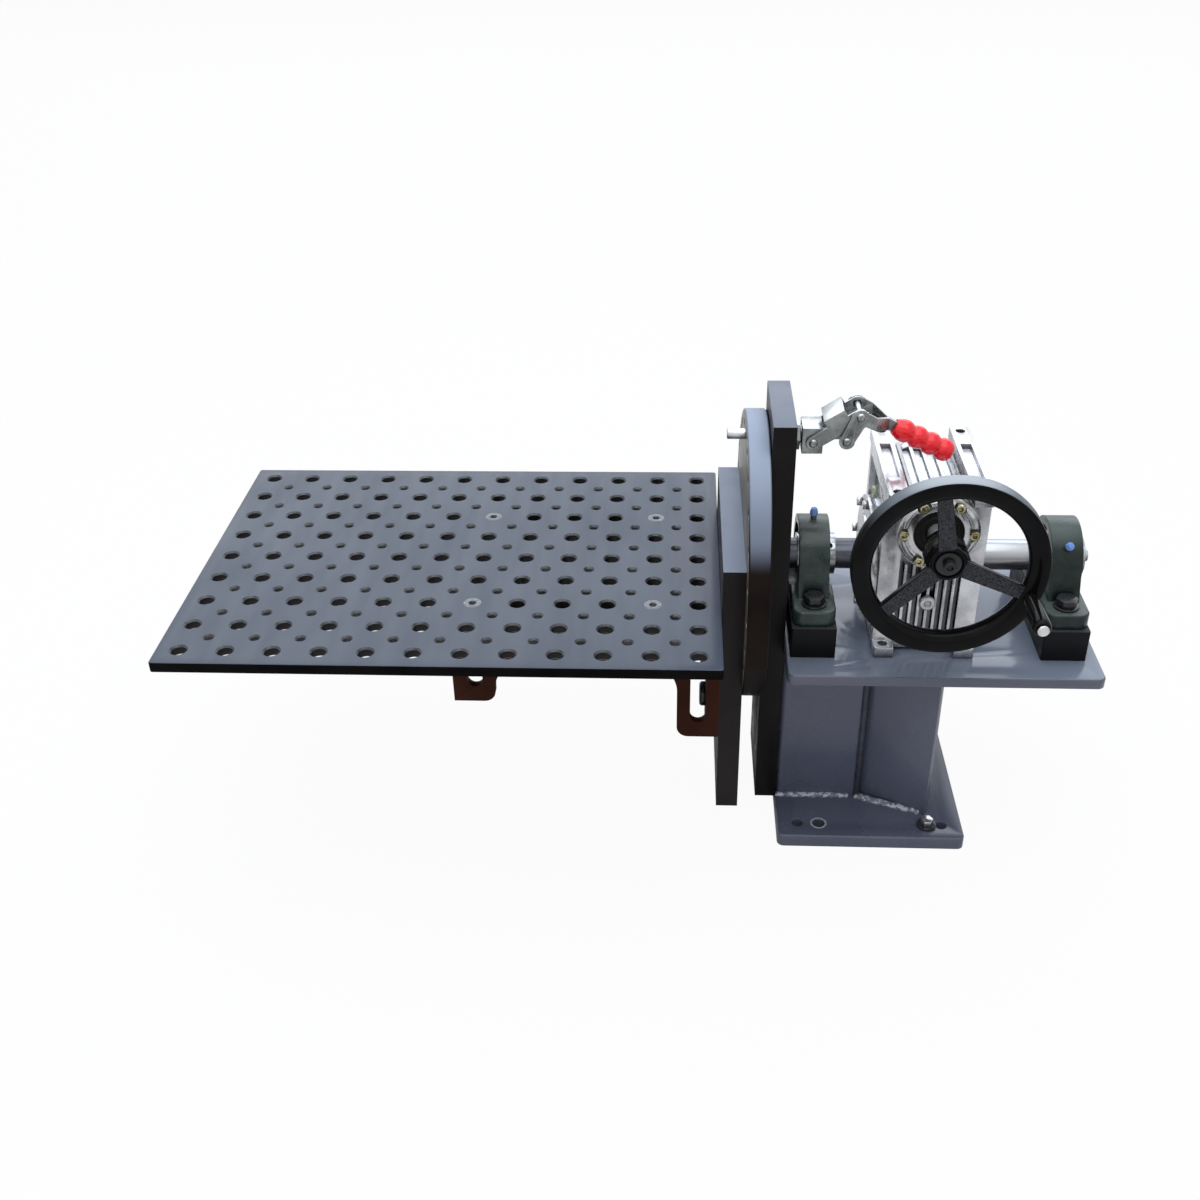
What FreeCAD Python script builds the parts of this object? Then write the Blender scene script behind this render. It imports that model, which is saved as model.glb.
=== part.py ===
import FreeCAD, Part
import os
import re
import Sketcher

# Manual welding positioner: a hole-grid table carried by a faceplate on a geared, hand-turned shaft.
# Frame: origin at the centre of the outer anchor holes on the base's underside, +Z up,
# +X from the table towards the gearbox, and the handwheel on the -Y side. Millimetres.

# ---- Driving dimensions ----
SIZES = {
    # base plate and its two anchor patterns
    "base_length": 220,
    "base_width": 270,
    "base_thick": 16,
    "base_corner": 8,
    "edge_break": 1.5,
    "anchor_span": 170,
    "anchor_gauge": 223,
    "anchor_hole": 14,
    "inner_left_inset": 25,
    "inner_right_inset": 17,
    "anchor_bolt": 8,
    "anchor_bolt_across": 13,
    "anchor_bolt_head": 8,
    "anchor_washer_diameter": 23,
    "anchor_washer_thick": 2,
    # column: rectangular tube with two diagonal gussets
    "column_setback": 1,
    "column_length": 100,
    "column_width": 120,
    "column_wall": 8,
    "column_corner": 8,
    "column_height": 212,
    "gusset_thick": 12,
    "gusset_reach": 77,
    "gusset_spread": 42,
    "gusset_root": 51,
    # deck that carries the drive
    "deck_length": 348,
    "deck_width": 250,
    "deck_thick": 12,
    "deck_corner": 9,
    # tall side plate behind the faceplate
    "side_plate_thick": 25,
    "side_plate_width": 125,
    "side_plate_height": 496,
    "side_screw_gauge": 70,
    "side_screw_low": 45,
    "side_screw_rise": 120,
    # flat-head screws of the side plate and of the mounting plate
    "flat_screw": 12,
    "flat_screw_head": 24,
    "flat_screw_socket": 8,
    "flat_screw_bite": 18,
    "socket_depth": 5,
    # shaft line
    "shaft_diameter": 35,
    "stub_diameter": 14,
    "stub_length": 14,
    "fit_clearance": 0.02,
    "running_clearance": 0.05,
    "free_clearance": 0.3,
    # pillow blocks for a 35 mm shaft
    "pillow_rise": 47.6,
    "pillow_setback": 30,
    "pillow_spacing": 278,
    "foot_length": 167,
    "foot_width": 48,
    "foot_thick": 18,
    "pillow_bolt_spacing": 127,
    "housing_radius": 45.4,
    "housing_width": 34,
    "outer_ring_diameter": 72,
    "outer_ring_width": 20,
    "collar_diameter": 47.6,
    "collar_length": 42.9,
    "collar_short_side": 17.5,
    "set_screw_hole": 7,
    "set_screw_inset": 7,
    "set_screw_turn": 50,
    "riser_length": 176,
    "riser_width": 50,
    "riser_corner": 2,
    "pillow_corner": 12,
    "pillow_bolt": 14,
    "pillow_bolt_across": 21,
    "pillow_bolt_head": 9,
    "pillow_washer_diameter": 28,
    "pillow_washer_thick": 2.5,
    "bolt_allowance": 1,
    "spot_face": 29,
    "nipple_turn": 50,
    # faceplate, index holes and the mounting plate of the table
    "disc_gap": 1,
    "disc_diameter": 330,
    "disc_thick": 24,
    "disc_hub_diameter": 60,
    "hub_opening": 66,
    "index_inset": 15,
    "index_hole": 12.1,
    "index_count": 24,
    "slab_thick": 25,
    "slab_height": 321,
    "slab_above_axis": 47,
    "slab_screw_gauge": 100,
    "slab_screw_high": 22,
    "slab_screw_rise": 104,
    # welding table with its grid of plain and tapped holes
    "table_length": 600,
    "table_width": 450,
    "table_thick": 12,
    "table_drop": 10,
    "table_corner": 3,
    "hole_pitch": 50,
    "grid_hole": 16,
    "tapped_hole": 9,
    "hole_chamfer": 2.3,
    "table_screw": 10,
    "table_screw_socket": 8,
    "table_nut_across": 14,
    "table_nut_height": 8,
    "spot_depth": 0.5,
    # angle brackets under the table
    "bracket_length": 300,
    "bracket_depth": 150,
    "bracket_foot": 104,
    "bracket_width": 50,
    "bracket_wall": 15,
    "bracket_web": 10,
    "bracket_slot": 17.5,
    "bracket_end": 20,
    "bracket_throat": 40,
    "bracket_corner": 13,
    "bracket_screw_low": 107,
    "bracket_screw_pitch": 58,
    "bracket_screw": 16,
    "bracket_screw_head": 28,
    "bracket_screw_rise": 7,
    "bracket_screw_bite": 21,
    "bracket_screw_socket": 8,
    # worm gearbox
    "gearbox_rise": 86,
    "gearbox_setback": 153.5,
    "gearbox_height": 205,
    "gearbox_width": 112,
    "gearbox_length": 172,
    "gearbox_body_length": 140,
    "gearbox_corner": 4,
    "flange_thick": 13,
    "casting_recess": 10,
    "side_recess": 8,
    "rail_width": 22,
    "rail_slot_width": 12,
    "rail_slot_length": 84,
    "rail_slot_depth": 7,
    "underside_recess": 4,
    "side_margin_y": 12,
    "side_margin_z": 8,
    "fin_thick": 3,
    "fin_pitch": 9,
    "fin_height": 99,
    "top_recess": 18,
    "rib_thick": 4,
    "rib_pitch": 13,
    "rib_height": 6,
    "foot_hole": 11,
    "foot_hole_gauge": 90,
    "foot_hole_span": 152,
    "foot_bolt_across": 17,
    "foot_bolt_head": 7,
    "centre_distance": 75,
    "wheel_cavity": 114,
    "quill_diameter": 50,
    "quill_length": 120,
    "wheel_tip_diameter": 108.8,
    "wheel_teeth": 30,
    "wheel_face": 34,
    "wheel_web": 18,
    "wheel_rim": 12,
    "tooth_depth": 7,
    "tooth_gap_root": 3.6,
    "tooth_gap_tip": 7.2,
    "wheel_bearing_diameter": 80,
    "bearing_width": 16,
    "cover_diameter": 136,
    "cover_thick": 8,
    "cover_screw_circle": 125,
    "cover_screw_head": 10,
    "cover_screw_rise": 6,
    "cover_boss": 92,
    "cover_boss_rise": 3,
    "right_boss": 104,
    "worm_diameter": 40,
    "worm_length": 68,
    "worm_pitch": 11.8,
    "thread_depth": 6,
    "thread_root": 3,
    "thread_mouth": 7,
    "worm_shaft_diameter": 25,
    "worm_bearing_diameter": 52,
    "worm_bearing_width": 15,
    "worm_bearing_inset": 44,
    "input_cover_diameter": 88,
    "input_cover_thick": 8,
    "input_bore": 54,
    "input_boss_rise": 10,
    "input_ledge": 12,
    "input_screw_circle": 74,
    "input_bead_width": 8,
    "input_bead_rise": 3.5,
    "input_screw_pocket": 15,
    "rear_boss": 72,
    "rear_boss_rise": 4,
    "rear_cap_inset": 3,
    "rear_cap_thick": 10,
    "seal_lip": 9,
    "plug_diameter": 17,
    "plug_height": 65,
    "plug_rise": 6,
    "plug_socket": 8,
    # handwheel and its revolving handle
    "wheel_diameter": 200,
    "rim_section": 21,
    "rim_plane": 156,
    "hub_front": 150,
    "wheel_hub_diameter": 40,
    "wheel_hub_length": 42,
    "handwheel_bore": 20,
    "spoke_width": 20,
    "spoke_depth": 10,
    "spoke_turn": 20,
    "handle_circle": 88,
    "handle_length": 60,
    "handle_root": 13,
    "handle_end": 19,
    "spindle_diameter": 8,
    "spindle_collar": 12,
    "spindle_end": 12,
    "wheel_screw": 8,
    "wheel_screw_head": 13,
    "wheel_washer_diameter": 26,
    "wheel_washer_thick": 2.5,
    # push-pull clamp that works the index pin
    "pin_diameter": 12,
    "pin_reach": 21,
    "pin_seat": 17,
    "clamp_neck": 20,
    "locknut_across": 30,
    "locknut_thick": 8,
    "block_setback": 10,
    "block_length": 22.5,
    "block_width": 32,
    "block_height": 30,
    "block_drop": 1.5,
    "sheet_thick": 2.5,
    "pivot_diameter": 6,
    "link_pivot_inset": 10.5,
    "link_pivot_drop": 3,
    "link_run": 48.4,
    "link_rise": 32,
    "link_width": 16,
    "bridge_start": 22,
    "bridge_length": 25,
    "bridge_rise": 16,
    "open_pivot_play": 1.3,
    "handle_pivot_run": 12.8,
    "lever_width": 17,
    "lever_arm": 44,
    "lever_slope": 26.4,
    "eye_diameter": 15,
    "block_stud_root": 8,
    "rivet_head": 10,
    "rivet_rise": 2,
    "grip_length": 75,
    "grip_diameter": 25.6,
    "tang_width": 12,
    "tang_length": 40,
    "grip_bulges": 4,
}

# ---- Places that follow from the driving dimensions ----
PLACES = {
    "column_left": "column_setback - base_length / 2",
    "column_right": "column_left + column_length",
    "column_top": "base_thick + column_height",
    "deck_top": "column_top + deck_thick",
    "axis_height": "deck_top + gearbox_rise",
    "riser_height": "gearbox_rise - pillow_rise",
    "side_plate_left": "column_left - side_plate_thick",
    "disc_right": "side_plate_left - disc_gap",
    "disc_left": "disc_right - disc_thick",
    "slab_left": "disc_left - slab_thick",
    "table_top": "axis_height - table_drop",
    "table_under": "table_top - table_thick",
    "pillow_left": "column_left + pillow_setback",
    "pillow_right": "pillow_left + pillow_spacing",
    "gearbox_middle": "column_left + gearbox_setback",
    "worm_height": "axis_height + centre_distance",
    "index_radius": "disc_diameter / 2 - index_inset",
    "clamp_height": "axis_height + index_radius",
    "hole_columns": "floor(table_length / hole_pitch)",
    "hole_rows": "floor(table_width / hole_pitch)",
    "end_margin": "(table_length - (hole_columns - 1) * hole_pitch) / 2",
    "side_margin": "(table_width - (hole_rows - 1) * hole_pitch) / 2",
    "bracket_row": "(floor(hole_rows / 2) + 2 - (hole_rows - 1) / 2) * hole_pitch",
    "slab_width": "2 * bracket_row + bracket_width",
    "near_screw": "end_margin + hole_pitch",
    "far_screw": "near_screw + 4 * hole_pitch",
    "leg_width": "2 * bracket_wall + bracket_slot",
    "block_left": "column_left + block_setback",
    "block_right": "block_left + block_length",
    "link_pivot": "block_right - link_pivot_inset",
    "link_length": "sqrt(link_run ^ 2 + link_rise ^ 2)",
    "link_slope": "atan2(link_rise; link_run)",
    "handle_pivot_rise": "link_rise - link_pivot_drop",
    "plunger_pivot": "link_pivot + link_run - handle_pivot_run",
    "link_inside": "block_width / 2 + free_clearance",
    "link_outside": "link_inside + sheet_thick",
    "lever_inside": "link_outside + free_clearance",
    "lever_outside": "lever_inside + sheet_thick",
}

# How closely a shape is matched when its edges are looked for: millimetres, and a share of a direction
NEARLY = 0.01
NEARLY_ALONG = 0.999

os.makedirs("parts", exist_ok=True)
doc = FreeCAD.newDocument("welding_positioner")
vector = FreeCAD.Vector


def fill_sheet(name, cells):
    """A spreadsheet with one named cell for each size."""
    sheet = doc.addObject("Spreadsheet::Sheet", name)
    for row, (alias, content) in enumerate(cells.items(), start=1):
        sheet.set("A%d" % row, content)
        sheet.setAlias("A%d" % row, alias)
    return sheet


def full(expression):
    """The expression with each size written as the sheet's own name for it."""
    def prefix(match):
        word = match.group(0)
        if word in SIZES:
            return "Sizes." + word
        if word in PLACES:
            return "Places." + word
        return word
    return re.sub(r"[A-Za-z_]\w*", prefix, expression)


sizes = fill_sheet("Sizes", {alias: str(number) for alias, number in SIZES.items()})
doc.recompute()
places = fill_sheet("Places", {alias: "=" + full(formula) for alias, formula in PLACES.items()})
doc.recompute()


def value(expression):
    """The number that an expression stands for."""
    result = sizes.evalExpression(full(expression))
    return float(getattr(result, "Value", result))


# ---- Tools shared by the sub-parts ----
def new_body(label, x="0", y="0", z="0"):
    """An empty body named after its node, placed by expressions."""
    body = doc.addObject("PartDesign::Body", label)
    body.Label = label
    for axis, expression in zip("xyz", (x, y, z)):
        body.setExpression(".Placement.Base." + axis, full(expression))
    return body


def origin_item(body, role):
    """One of the body's own origin planes or axes."""
    return next(item for item in body.Origin.OriginFeatures if item.Role == role)


def new_sketch(body, plane, offset="0"):
    """A sketch on an origin plane: XY looks down, XZ looks along +Y, YZ looks along -X."""
    sketch = body.newObject("Sketcher::SketchObject", body.Label + "_sketch")
    sketch.AttachmentSupport = (origin_item(body, plane + "_Plane"), [""])
    sketch.MapMode = "FlatFace"
    sketch.setExpression(".AttachmentOffset.Base.z", full(offset))
    return sketch


def constrain(sketch, kind, *arguments, size):
    """Adds a driving constraint whose value is an expression."""
    number = value(size)
    index = sketch.addConstraint(Sketcher.Constraint(kind, *arguments, number))
    sketch.setExpression("Constraints[%d]" % index, full(size))


def draw_outline(sketch, points):
    """A closed outline of straight lines through points given as pairs of expressions."""
    corners = [vector(value(x), value(y), 0) for x, y in points]
    first = sketch.GeometryCount
    count = len(corners)
    for number, corner in enumerate(corners):
        sketch.addGeometry(Part.LineSegment(corner, corners[(number + 1) % count]), False)
    for number, (x, y) in enumerate(points):
        here = first + number
        following = first + (number + 1) % count
        sketch.addConstraint(Sketcher.Constraint("Coincident", here, 2, following, 1))
        constrain(sketch, "DistanceX", -1, 1, here, 1, size=x)
        constrain(sketch, "DistanceY", -1, 1, here, 1, size=y)
    return sketch


def draw_rectangle(sketch, left, low, right, high):
    """A rectangle between two corners."""
    return draw_outline(sketch, [(left, low), (right, low), (right, high), (left, high)])


def draw_circle(sketch, x, y, diameter):
    """A circle from its centre and diameter."""
    centre = vector(value(x), value(y), 0)
    circle = Part.Circle(centre, vector(0, 0, 1), value(diameter) / 2)
    index = sketch.addGeometry(circle, False)
    constrain(sketch, "DistanceX", -1, 1, index, 3, size=x)
    constrain(sketch, "DistanceY", -1, 1, index, 3, size=y)
    constrain(sketch, "Diameter", index, size=diameter)
    return sketch


def draw_hexagon(sketch, x, y, across):
    """A hexagon with two flats parallel to the sketch's x axis."""
    corners = []
    for turn in range(0, 360, 60):
        reach = "(%s) / sqrt(3)" % across
        corners.append(("%s + %s * cos(%d)" % (x, reach, turn), "%s + %s * sin(%d)" % (y, reach, turn)))
    return draw_outline(sketch, corners)


def draw_slot(sketch, x0, y0, x1, y1, width):
    """A round-ended slot along the sketch's x or y axis, from one end's centre to the other's."""
    half = value(width) / 2
    start = vector(value(x0), value(y0), 0)
    end = vector(value(x1), value(y1), 0)
    along = (end - start).normalize()
    side = vector(-along.y, along.x, 0) * half
    first = sketch.addGeometry(Part.LineSegment(start - side, end - side), False)
    second = sketch.addGeometry(Part.Arc(end - side, end + along * half, end + side), False)
    third = sketch.addGeometry(Part.LineSegment(end + side, start + side), False)
    fourth = sketch.addGeometry(Part.Arc(start + side, start - along * half, start - side), False)
    sketch.addConstraint(Sketcher.Constraint("Tangent", first, 2, second, 1))
    sketch.addConstraint(Sketcher.Constraint("Tangent", second, 2, third, 1))
    sketch.addConstraint(Sketcher.Constraint("Tangent", third, 2, fourth, 1))
    sketch.addConstraint(Sketcher.Constraint("Tangent", fourth, 2, first, 1))
    sketch.addConstraint(Sketcher.Constraint("Equal", second, fourth))
    constrain(sketch, "DistanceX", -1, 1, second, 3, size=x1)
    constrain(sketch, "DistanceY", -1, 1, second, 3, size=y1)
    constrain(sketch, "DistanceX", -1, 1, fourth, 3, size=x0)
    constrain(sketch, "DistanceY", -1, 1, fourth, 3, size=y0)
    constrain(sketch, "Diameter", second, size=width)
    return sketch


def pad(body, sketch, length):
    """Adds material along the sketch's normal."""
    feature = body.newObject("PartDesign::Pad", body.Label + "_pad")
    feature.Profile = sketch
    feature.setExpression("Length", full(length))
    doc.recompute()
    return feature


def pocket(body, sketch, length, forwards=False):
    """Removes material against the sketch's normal, or along it when forwards."""
    before = body.Shape.Volume
    feature = body.newObject("PartDesign::Pocket", body.Label + "_pocket")
    feature.Profile = sketch
    feature.Reversed = forwards
    feature.setExpression("Length", full(length))
    doc.recompute()
    if not body.Shape.Volume < before:
        raise ValueError("a pocket cuts nothing in " + body.Label)
    return feature


def revolve(body, axis, points, cut=False):
    """Turns an outline of (along, radius) points about one of the body's axes."""
    if axis == "Z":
        sketch = draw_outline(new_sketch(body, "XZ"), [(radius, along) for along, radius in points])
        line = "V_Axis"
    else:
        sketch = draw_outline(new_sketch(body, {"X": "XY", "Y": "YZ"}[axis]), points)
        line = "H_Axis"
    kind = "PartDesign::Groove" if cut else "PartDesign::Revolution"
    feature = body.newObject(kind, body.Label + "_turned")
    feature.Profile = sketch
    feature.ReferenceAxis = (sketch, [line])
    feature.Angle = 360
    doc.recompute()
    return feature


def tube_outline(start, end, inner, outer):
    """The (along, radius) outline of a plain ring."""
    return [(start, inner), (end, inner), (end, outer), (start, outer)]


def repeat_line(body, feature, axis, pitch, count, axis2=None, pitch2=None, count2=None):
    """Repeats a feature along one or two of the body's axes."""
    pattern = body.newObject("PartDesign::LinearPattern", body.Label + "_rows")
    pattern.Originals = [feature]
    pattern.Direction = (origin_item(body, axis + "_Axis"), [""])
    pattern.setExpression("Length", full("(%s) * (%s - 1)" % (pitch, count)))
    pattern.setExpression("Occurrences", full(count))
    if axis2:
        pattern.Direction2 = (origin_item(body, axis2 + "_Axis"), [""])
        pattern.setExpression("Length2", full("(%s) * (%s - 1)" % (pitch2, count2)))
        pattern.setExpression("Occurrences2", full(count2))
    body.Tip = pattern
    doc.recompute()
    return pattern


def repeat_round(body, features, axis, count):
    """Repeats features evenly round one of the body's axes."""
    pattern = body.newObject("PartDesign::PolarPattern", body.Label + "_ring")
    pattern.Originals = features
    pattern.Axis = (origin_item(body, axis + "_Axis"), [""])
    pattern.Angle = 360
    pattern.setExpression("Occurrences", full(count))
    body.Tip = pattern
    doc.recompute()
    return pattern


def mirror(body, feature, plane):
    """Repeats a feature on the far side of an origin plane."""
    copy = body.newObject("PartDesign::Mirrored", body.Label + "_mirrored")
    copy.Originals = [feature]
    copy.MirrorPlane = (origin_item(body, plane + "_Plane"), [""])
    body.Tip = copy
    doc.recompute()
    return copy


def edges_of(body, test):
    """Names of the edges of the body's last feature that pass a test."""
    edges = body.Tip.Shape.Edges
    return ["Edge%d" % number for number, edge in enumerate(edges, start=1) if test(edge)]


def is_along(edge, axis):
    """Whether an edge is straight and runs along the axis."""
    if edge.Curve.TypeId != "Part::GeomLine":
        return False
    return abs(getattr(edge.tangentAt(edge.FirstParameter), axis)) > NEARLY_ALONG


def is_level(edge, axis, level):
    """Whether an edge lies in the plane at this level of the body's own axis."""
    box = edge.BoundBox
    low = getattr(box, axis.upper() + "Min")
    high = getattr(box, axis.upper() + "Max")
    return abs(low - level) < NEARLY and abs(high - level) < NEARLY


def round_corners(body, axis, size, test=lambda edge: True):
    """Rounds the straight edges that run along an axis."""
    tip = body.Tip
    names = edges_of(body, lambda edge: is_along(edge, axis) and test(edge))
    feature = body.newObject("PartDesign::Fillet", body.Label + "_corners")
    feature.Base = (tip, names)
    feature.setExpression("Radius", full(size))
    doc.recompute()
    return feature


def break_edges(body, axis, level, size):
    """Chamfers every edge in the plane at this level of an axis."""
    tip = body.Tip
    height = value(level)
    names = edges_of(body, lambda edge: is_level(edge, axis, height))
    feature = body.newObject("PartDesign::Chamfer", body.Label + "_edges")
    feature.Base = (tip, names)
    feature.setExpression("Size", full(size))
    doc.recompute()
    return feature


def plate_across(label, x, y, z, length, width, thick, corner):
    """A level plate with rounded corners, centred on its place."""
    body = new_body(label, x, y, z)
    sketch = new_sketch(body, "XY")
    draw_rectangle(sketch, "-(%s) / 2" % length, "-(%s) / 2" % width, "(%s) / 2" % length, "(%s) / 2" % width)
    pad(body, sketch, thick)
    round_corners(body, "z", corner)
    return body


def hex_screws(label, plane, x, y, z, across, head, diameter, length):
    """A hexagon-head screw whose head stands on the plane's front and whose shank goes behind it."""
    body = new_body(label, x, y, z)
    pad(body, draw_hexagon(new_sketch(body, plane), "0", "0", across), head)
    shank = new_sketch(body, plane, "-(%s)" % length)
    pad(body, draw_circle(shank, "0", "0", diameter), length)
    return body


# ---- Frame: base, column and deck ----
def make_base_plate():
    body = plate_across("base_plate", "0", "0", "0", "base_length", "base_width", "base_thick", "base_corner")
    break_edges(body, "z", "base_thick", "edge_break")
    holes = new_sketch(body, "XY")
    for x in (
        "-anchor_span / 2",
        "inner_left_inset - anchor_span / 2",
        "anchor_span / 2 - inner_right_inset",
        "anchor_span / 2",
    ):
        draw_circle(holes, x, "-anchor_gauge / 2", "anchor_hole")
        draw_circle(holes, x, "anchor_gauge / 2", "anchor_hole")
    pocket(body, holes, "base_thick", forwards=True)
    return body


def make_anchor_bolt():
    """The bolt that stands in one inner anchor hole, on its washer."""
    x = "anchor_span / 2 - inner_right_inset"
    y = "-anchor_gauge / 2"
    seat = "base_thick + anchor_washer_thick"
    bolt = hex_screws("anchor_bolt", "XY", x, y, seat,
                      "anchor_bolt_across", "anchor_bolt_head", "anchor_bolt", seat)
    washer = new_body("anchor_washer", x, y, "base_thick")
    bore = "anchor_bolt / 2 + running_clearance"
    revolve(washer, "Z", tube_outline("0", "anchor_washer_thick", bore, "anchor_washer_diameter / 2"))
    return [bolt, washer]


def make_column_tube():
    body = new_body("column_tube", "column_left + column_length / 2", "0", "base_thick")
    sketch = new_sketch(body, "XY")
    draw_rectangle(sketch, "-column_length / 2", "-column_width / 2", "column_length / 2", "column_width / 2")
    pad(body, sketch, "column_height")
    round_corners(body, "z", "column_corner")
    inside = new_sketch(body, "XY")
    x = "column_length / 2 - column_wall"
    y = "column_width / 2 - column_wall"
    draw_rectangle(inside, "-(%s)" % x, "-(%s)" % y, x, y)
    pocket(body, inside, "column_height", forwards=True)
    # tapped holes for the screws of the side plate
    screws = new_sketch(body, "YZ", "-column_length / 2")
    for y in ("-side_screw_gauge / 2", "side_screw_gauge / 2"):
        draw_circle(screws, y, "side_screw_low", "flat_screw + 2 * running_clearance")
        draw_circle(screws, y, "side_screw_low + side_screw_rise", "flat_screw + 2 * running_clearance")
    pocket(body, screws, "column_wall", forwards=True)
    return body


def make_gusset(label, side):
    """A diagonal plate from the tube's corner to the base's corner, the full height of the column."""
    body = new_body(label, "column_right", "0", "base_thick")
    length = "sqrt(gusset_reach ^ 2 + gusset_spread ^ 2)"
    shift_x = "gusset_thick * gusset_spread / %s" % length
    shift_y = "gusset_thick * gusset_reach / %s" % length
    root = "gusset_thick * %s / gusset_reach" % length
    corners = [
        ("0", "%d * gusset_root" % side),
        ("gusset_reach", "%d * (gusset_root + gusset_spread)" % side),
        ("gusset_reach + " + shift_x, "%d * (gusset_root + gusset_spread - %s)" % (side, shift_y)),
        ("0", "%d * (gusset_root - %s)" % (side, root)),
    ]
    pad(body, draw_outline(new_sketch(body, "XY"), corners), "column_height")
    return body


def make_deck():
    middle = "column_left + deck_length / 2"
    body = plate_across("deck_plate", middle, "0", "column_top",
                        "deck_length", "deck_width", "deck_thick", "deck_corner")
    break_edges(body, "z", "deck_thick", "edge_break")
    holes = new_sketch(body, "XY")
    for block in ("pillow_left", "pillow_right"):
        for y in ("-pillow_bolt_spacing / 2", "pillow_bolt_spacing / 2"):
            draw_circle(holes, "%s - (%s)" % (block, middle), y, "pillow_bolt + 2 * running_clearance")
    for x in ("-foot_hole_gauge / 2", "foot_hole_gauge / 2"):
        for y in ("-foot_hole_span / 2", "foot_hole_span / 2"):
            draw_circle(holes, "gearbox_middle + %s - (%s)" % (x, middle), y, "foot_hole")
    pocket(body, holes, "deck_thick", forwards=True)
    return body


def make_side_plate():
    """The tall plate screwed to the column, with the shaft's opening and the hole of the index pin."""
    body = new_body("side_plate", "side_plate_left", "0", "base_thick")
    sketch = new_sketch(body, "YZ")
    draw_rectangle(sketch, "-side_plate_width / 2", "0", "side_plate_width / 2", "side_plate_height")
    pad(body, sketch, "side_plate_thick")
    openings = new_sketch(body, "YZ")
    draw_circle(openings, "0", "axis_height - base_thick", "hub_opening")
    draw_circle(openings, "0", "clamp_height - base_thick", "clamp_neck + 2 * fit_clearance")
    pocket(body, openings, "side_plate_thick", forwards=True)
    for y in ("-side_screw_gauge / 2", "side_screw_gauge / 2"):
        for z in ("side_screw_low", "side_screw_low + side_screw_rise"):
            sink_hole(body, y, z, "side_plate_thick")
    return body


def sink_hole(body, y, z, thick):
    """A hole along +X with a countersink on the left face for a flat-head screw."""
    hole = new_sketch(body, "YZ")
    draw_circle(hole, y, z, "flat_screw + 2 * running_clearance")
    pocket(body, hole, thick, forwards=True)
    sink = new_sketch(body, "YZ")
    draw_circle(sink, y, z, "flat_screw_head + 2 * free_clearance")
    feature = pocket(body, sink, "(flat_screw_head - flat_screw) / 2", forwards=True)
    feature.TaperAngle = -45
    doc.recompute()


def make_flat_screws(label, x, y, z, gauge, rise, length):
    """Four flat-head socket screws along +X, heads flush with their plate's left face."""
    body = new_body(label, x, y, z)
    shank = "flat_screw / 2"
    screw = revolve(body, "X", [
        ("0", "0"),
        ("0", "flat_screw_head / 2"),
        ("(flat_screw_head - flat_screw) / 2", shank),
        (length, shank),
        (length, "0"),
    ])
    socket = draw_hexagon(new_sketch(body, "YZ"), "0", "0", "flat_screw_socket")
    socket = pocket(body, socket, "socket_depth", forwards=True)
    rows = repeat_line(body, screw, "Y", gauge, "2", "Z", rise, "2")
    rows.Originals = [screw, socket]
    doc.recompute()
    return body


# ---- Shaft line: risers, pillow blocks, shaft ----
def make_riser(label, x):
    body = plate_across(label, x, "0", "deck_top",
                        "riser_width", "riser_length", "riser_height", "riser_corner")
    holes = new_sketch(body, "XY")
    for y in ("-pillow_bolt_spacing / 2", "pillow_bolt_spacing / 2"):
        draw_circle(holes, "0", y, "pillow_bolt + 2 * free_clearance")
    pocket(body, holes, "riser_height", forwards=True)
    return body


def make_pillow_housing(label, x):
    """A cast pillow-block housing: slotted foot, sloping shoulders and a round barrel."""
    body = plate_across(label, x, "0", "deck_top + riser_height",
                        "foot_width", "foot_length", "foot_thick", "pillow_corner")
    break_edges(body, "z", "foot_thick", "edge_break")
    shoulders = new_sketch(body, "YZ", "-housing_width / 2")
    draw_outline(shoulders, [
        ("-0.34 * foot_length", "foot_thick / 2"),
        ("0.34 * foot_length", "foot_thick / 2"),
        ("0.98 * housing_radius", "pillow_rise"),
        ("-0.98 * housing_radius", "pillow_rise"),
    ])
    pad(body, shoulders, "housing_width")
    barrel = new_sketch(body, "YZ", "-housing_width / 2")
    pad(body, draw_circle(barrel, "0", "pillow_rise", "2 * housing_radius"), "housing_width")
    bore = new_sketch(body, "YZ", "-foot_width / 2")
    draw_circle(bore, "0", "pillow_rise", "outer_ring_diameter")
    pocket(body, bore, "foot_width", forwards=True)
    slots = new_sketch(body, "XY")
    seats = new_sketch(body, "XY", "foot_thick")
    for side in (-1, 1):
        middle = "%d * pillow_bolt_spacing / 2" % side
        draw_slot(slots, "0", middle + " - 2", "0", middle + " + 2", "pillow_bolt + 2")
        draw_circle(seats, "0", middle, "spot_face")
    pocket(body, slots, "foot_thick", forwards=True)
    pocket(body, seats, "foot_thick", forwards=True)
    return body


def make_pillow_rings():
    """The two sealed outer rings of the bearing inserts."""
    body = new_body("bearing_outer_rings", "pillow_left", "0", "axis_height")
    half = "outer_ring_width / 2"
    inner = "collar_diameter / 2 + free_clearance"
    outer = "outer_ring_diameter / 2 - fit_clearance"
    ring = revolve(body, "X", tube_outline("-" + half, half, inner, outer))
    repeat_line(body, ring, "X", "pillow_spacing", "2")
    return body


def make_bearing_collar(label, x):
    """An insert's inner ring, longer on the side that holds its set screw."""
    body = new_body(label, x, "0", "axis_height")
    end = "collar_length - collar_short_side"
    inner = "shaft_diameter / 2 + fit_clearance"
    revolve(body, "X", tube_outline("-collar_short_side", end, inner, "collar_diameter / 2"))
    hole = new_sketch(body, "XZ")
    draw_circle(hole, end + " - set_screw_inset", "0", "set_screw_hole")
    pocket(body, hole, "collar_diameter", forwards=True)
    body.Placement.Rotation = FreeCAD.Rotation(vector(1, 0, 0), -value("set_screw_turn"))
    return body


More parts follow.
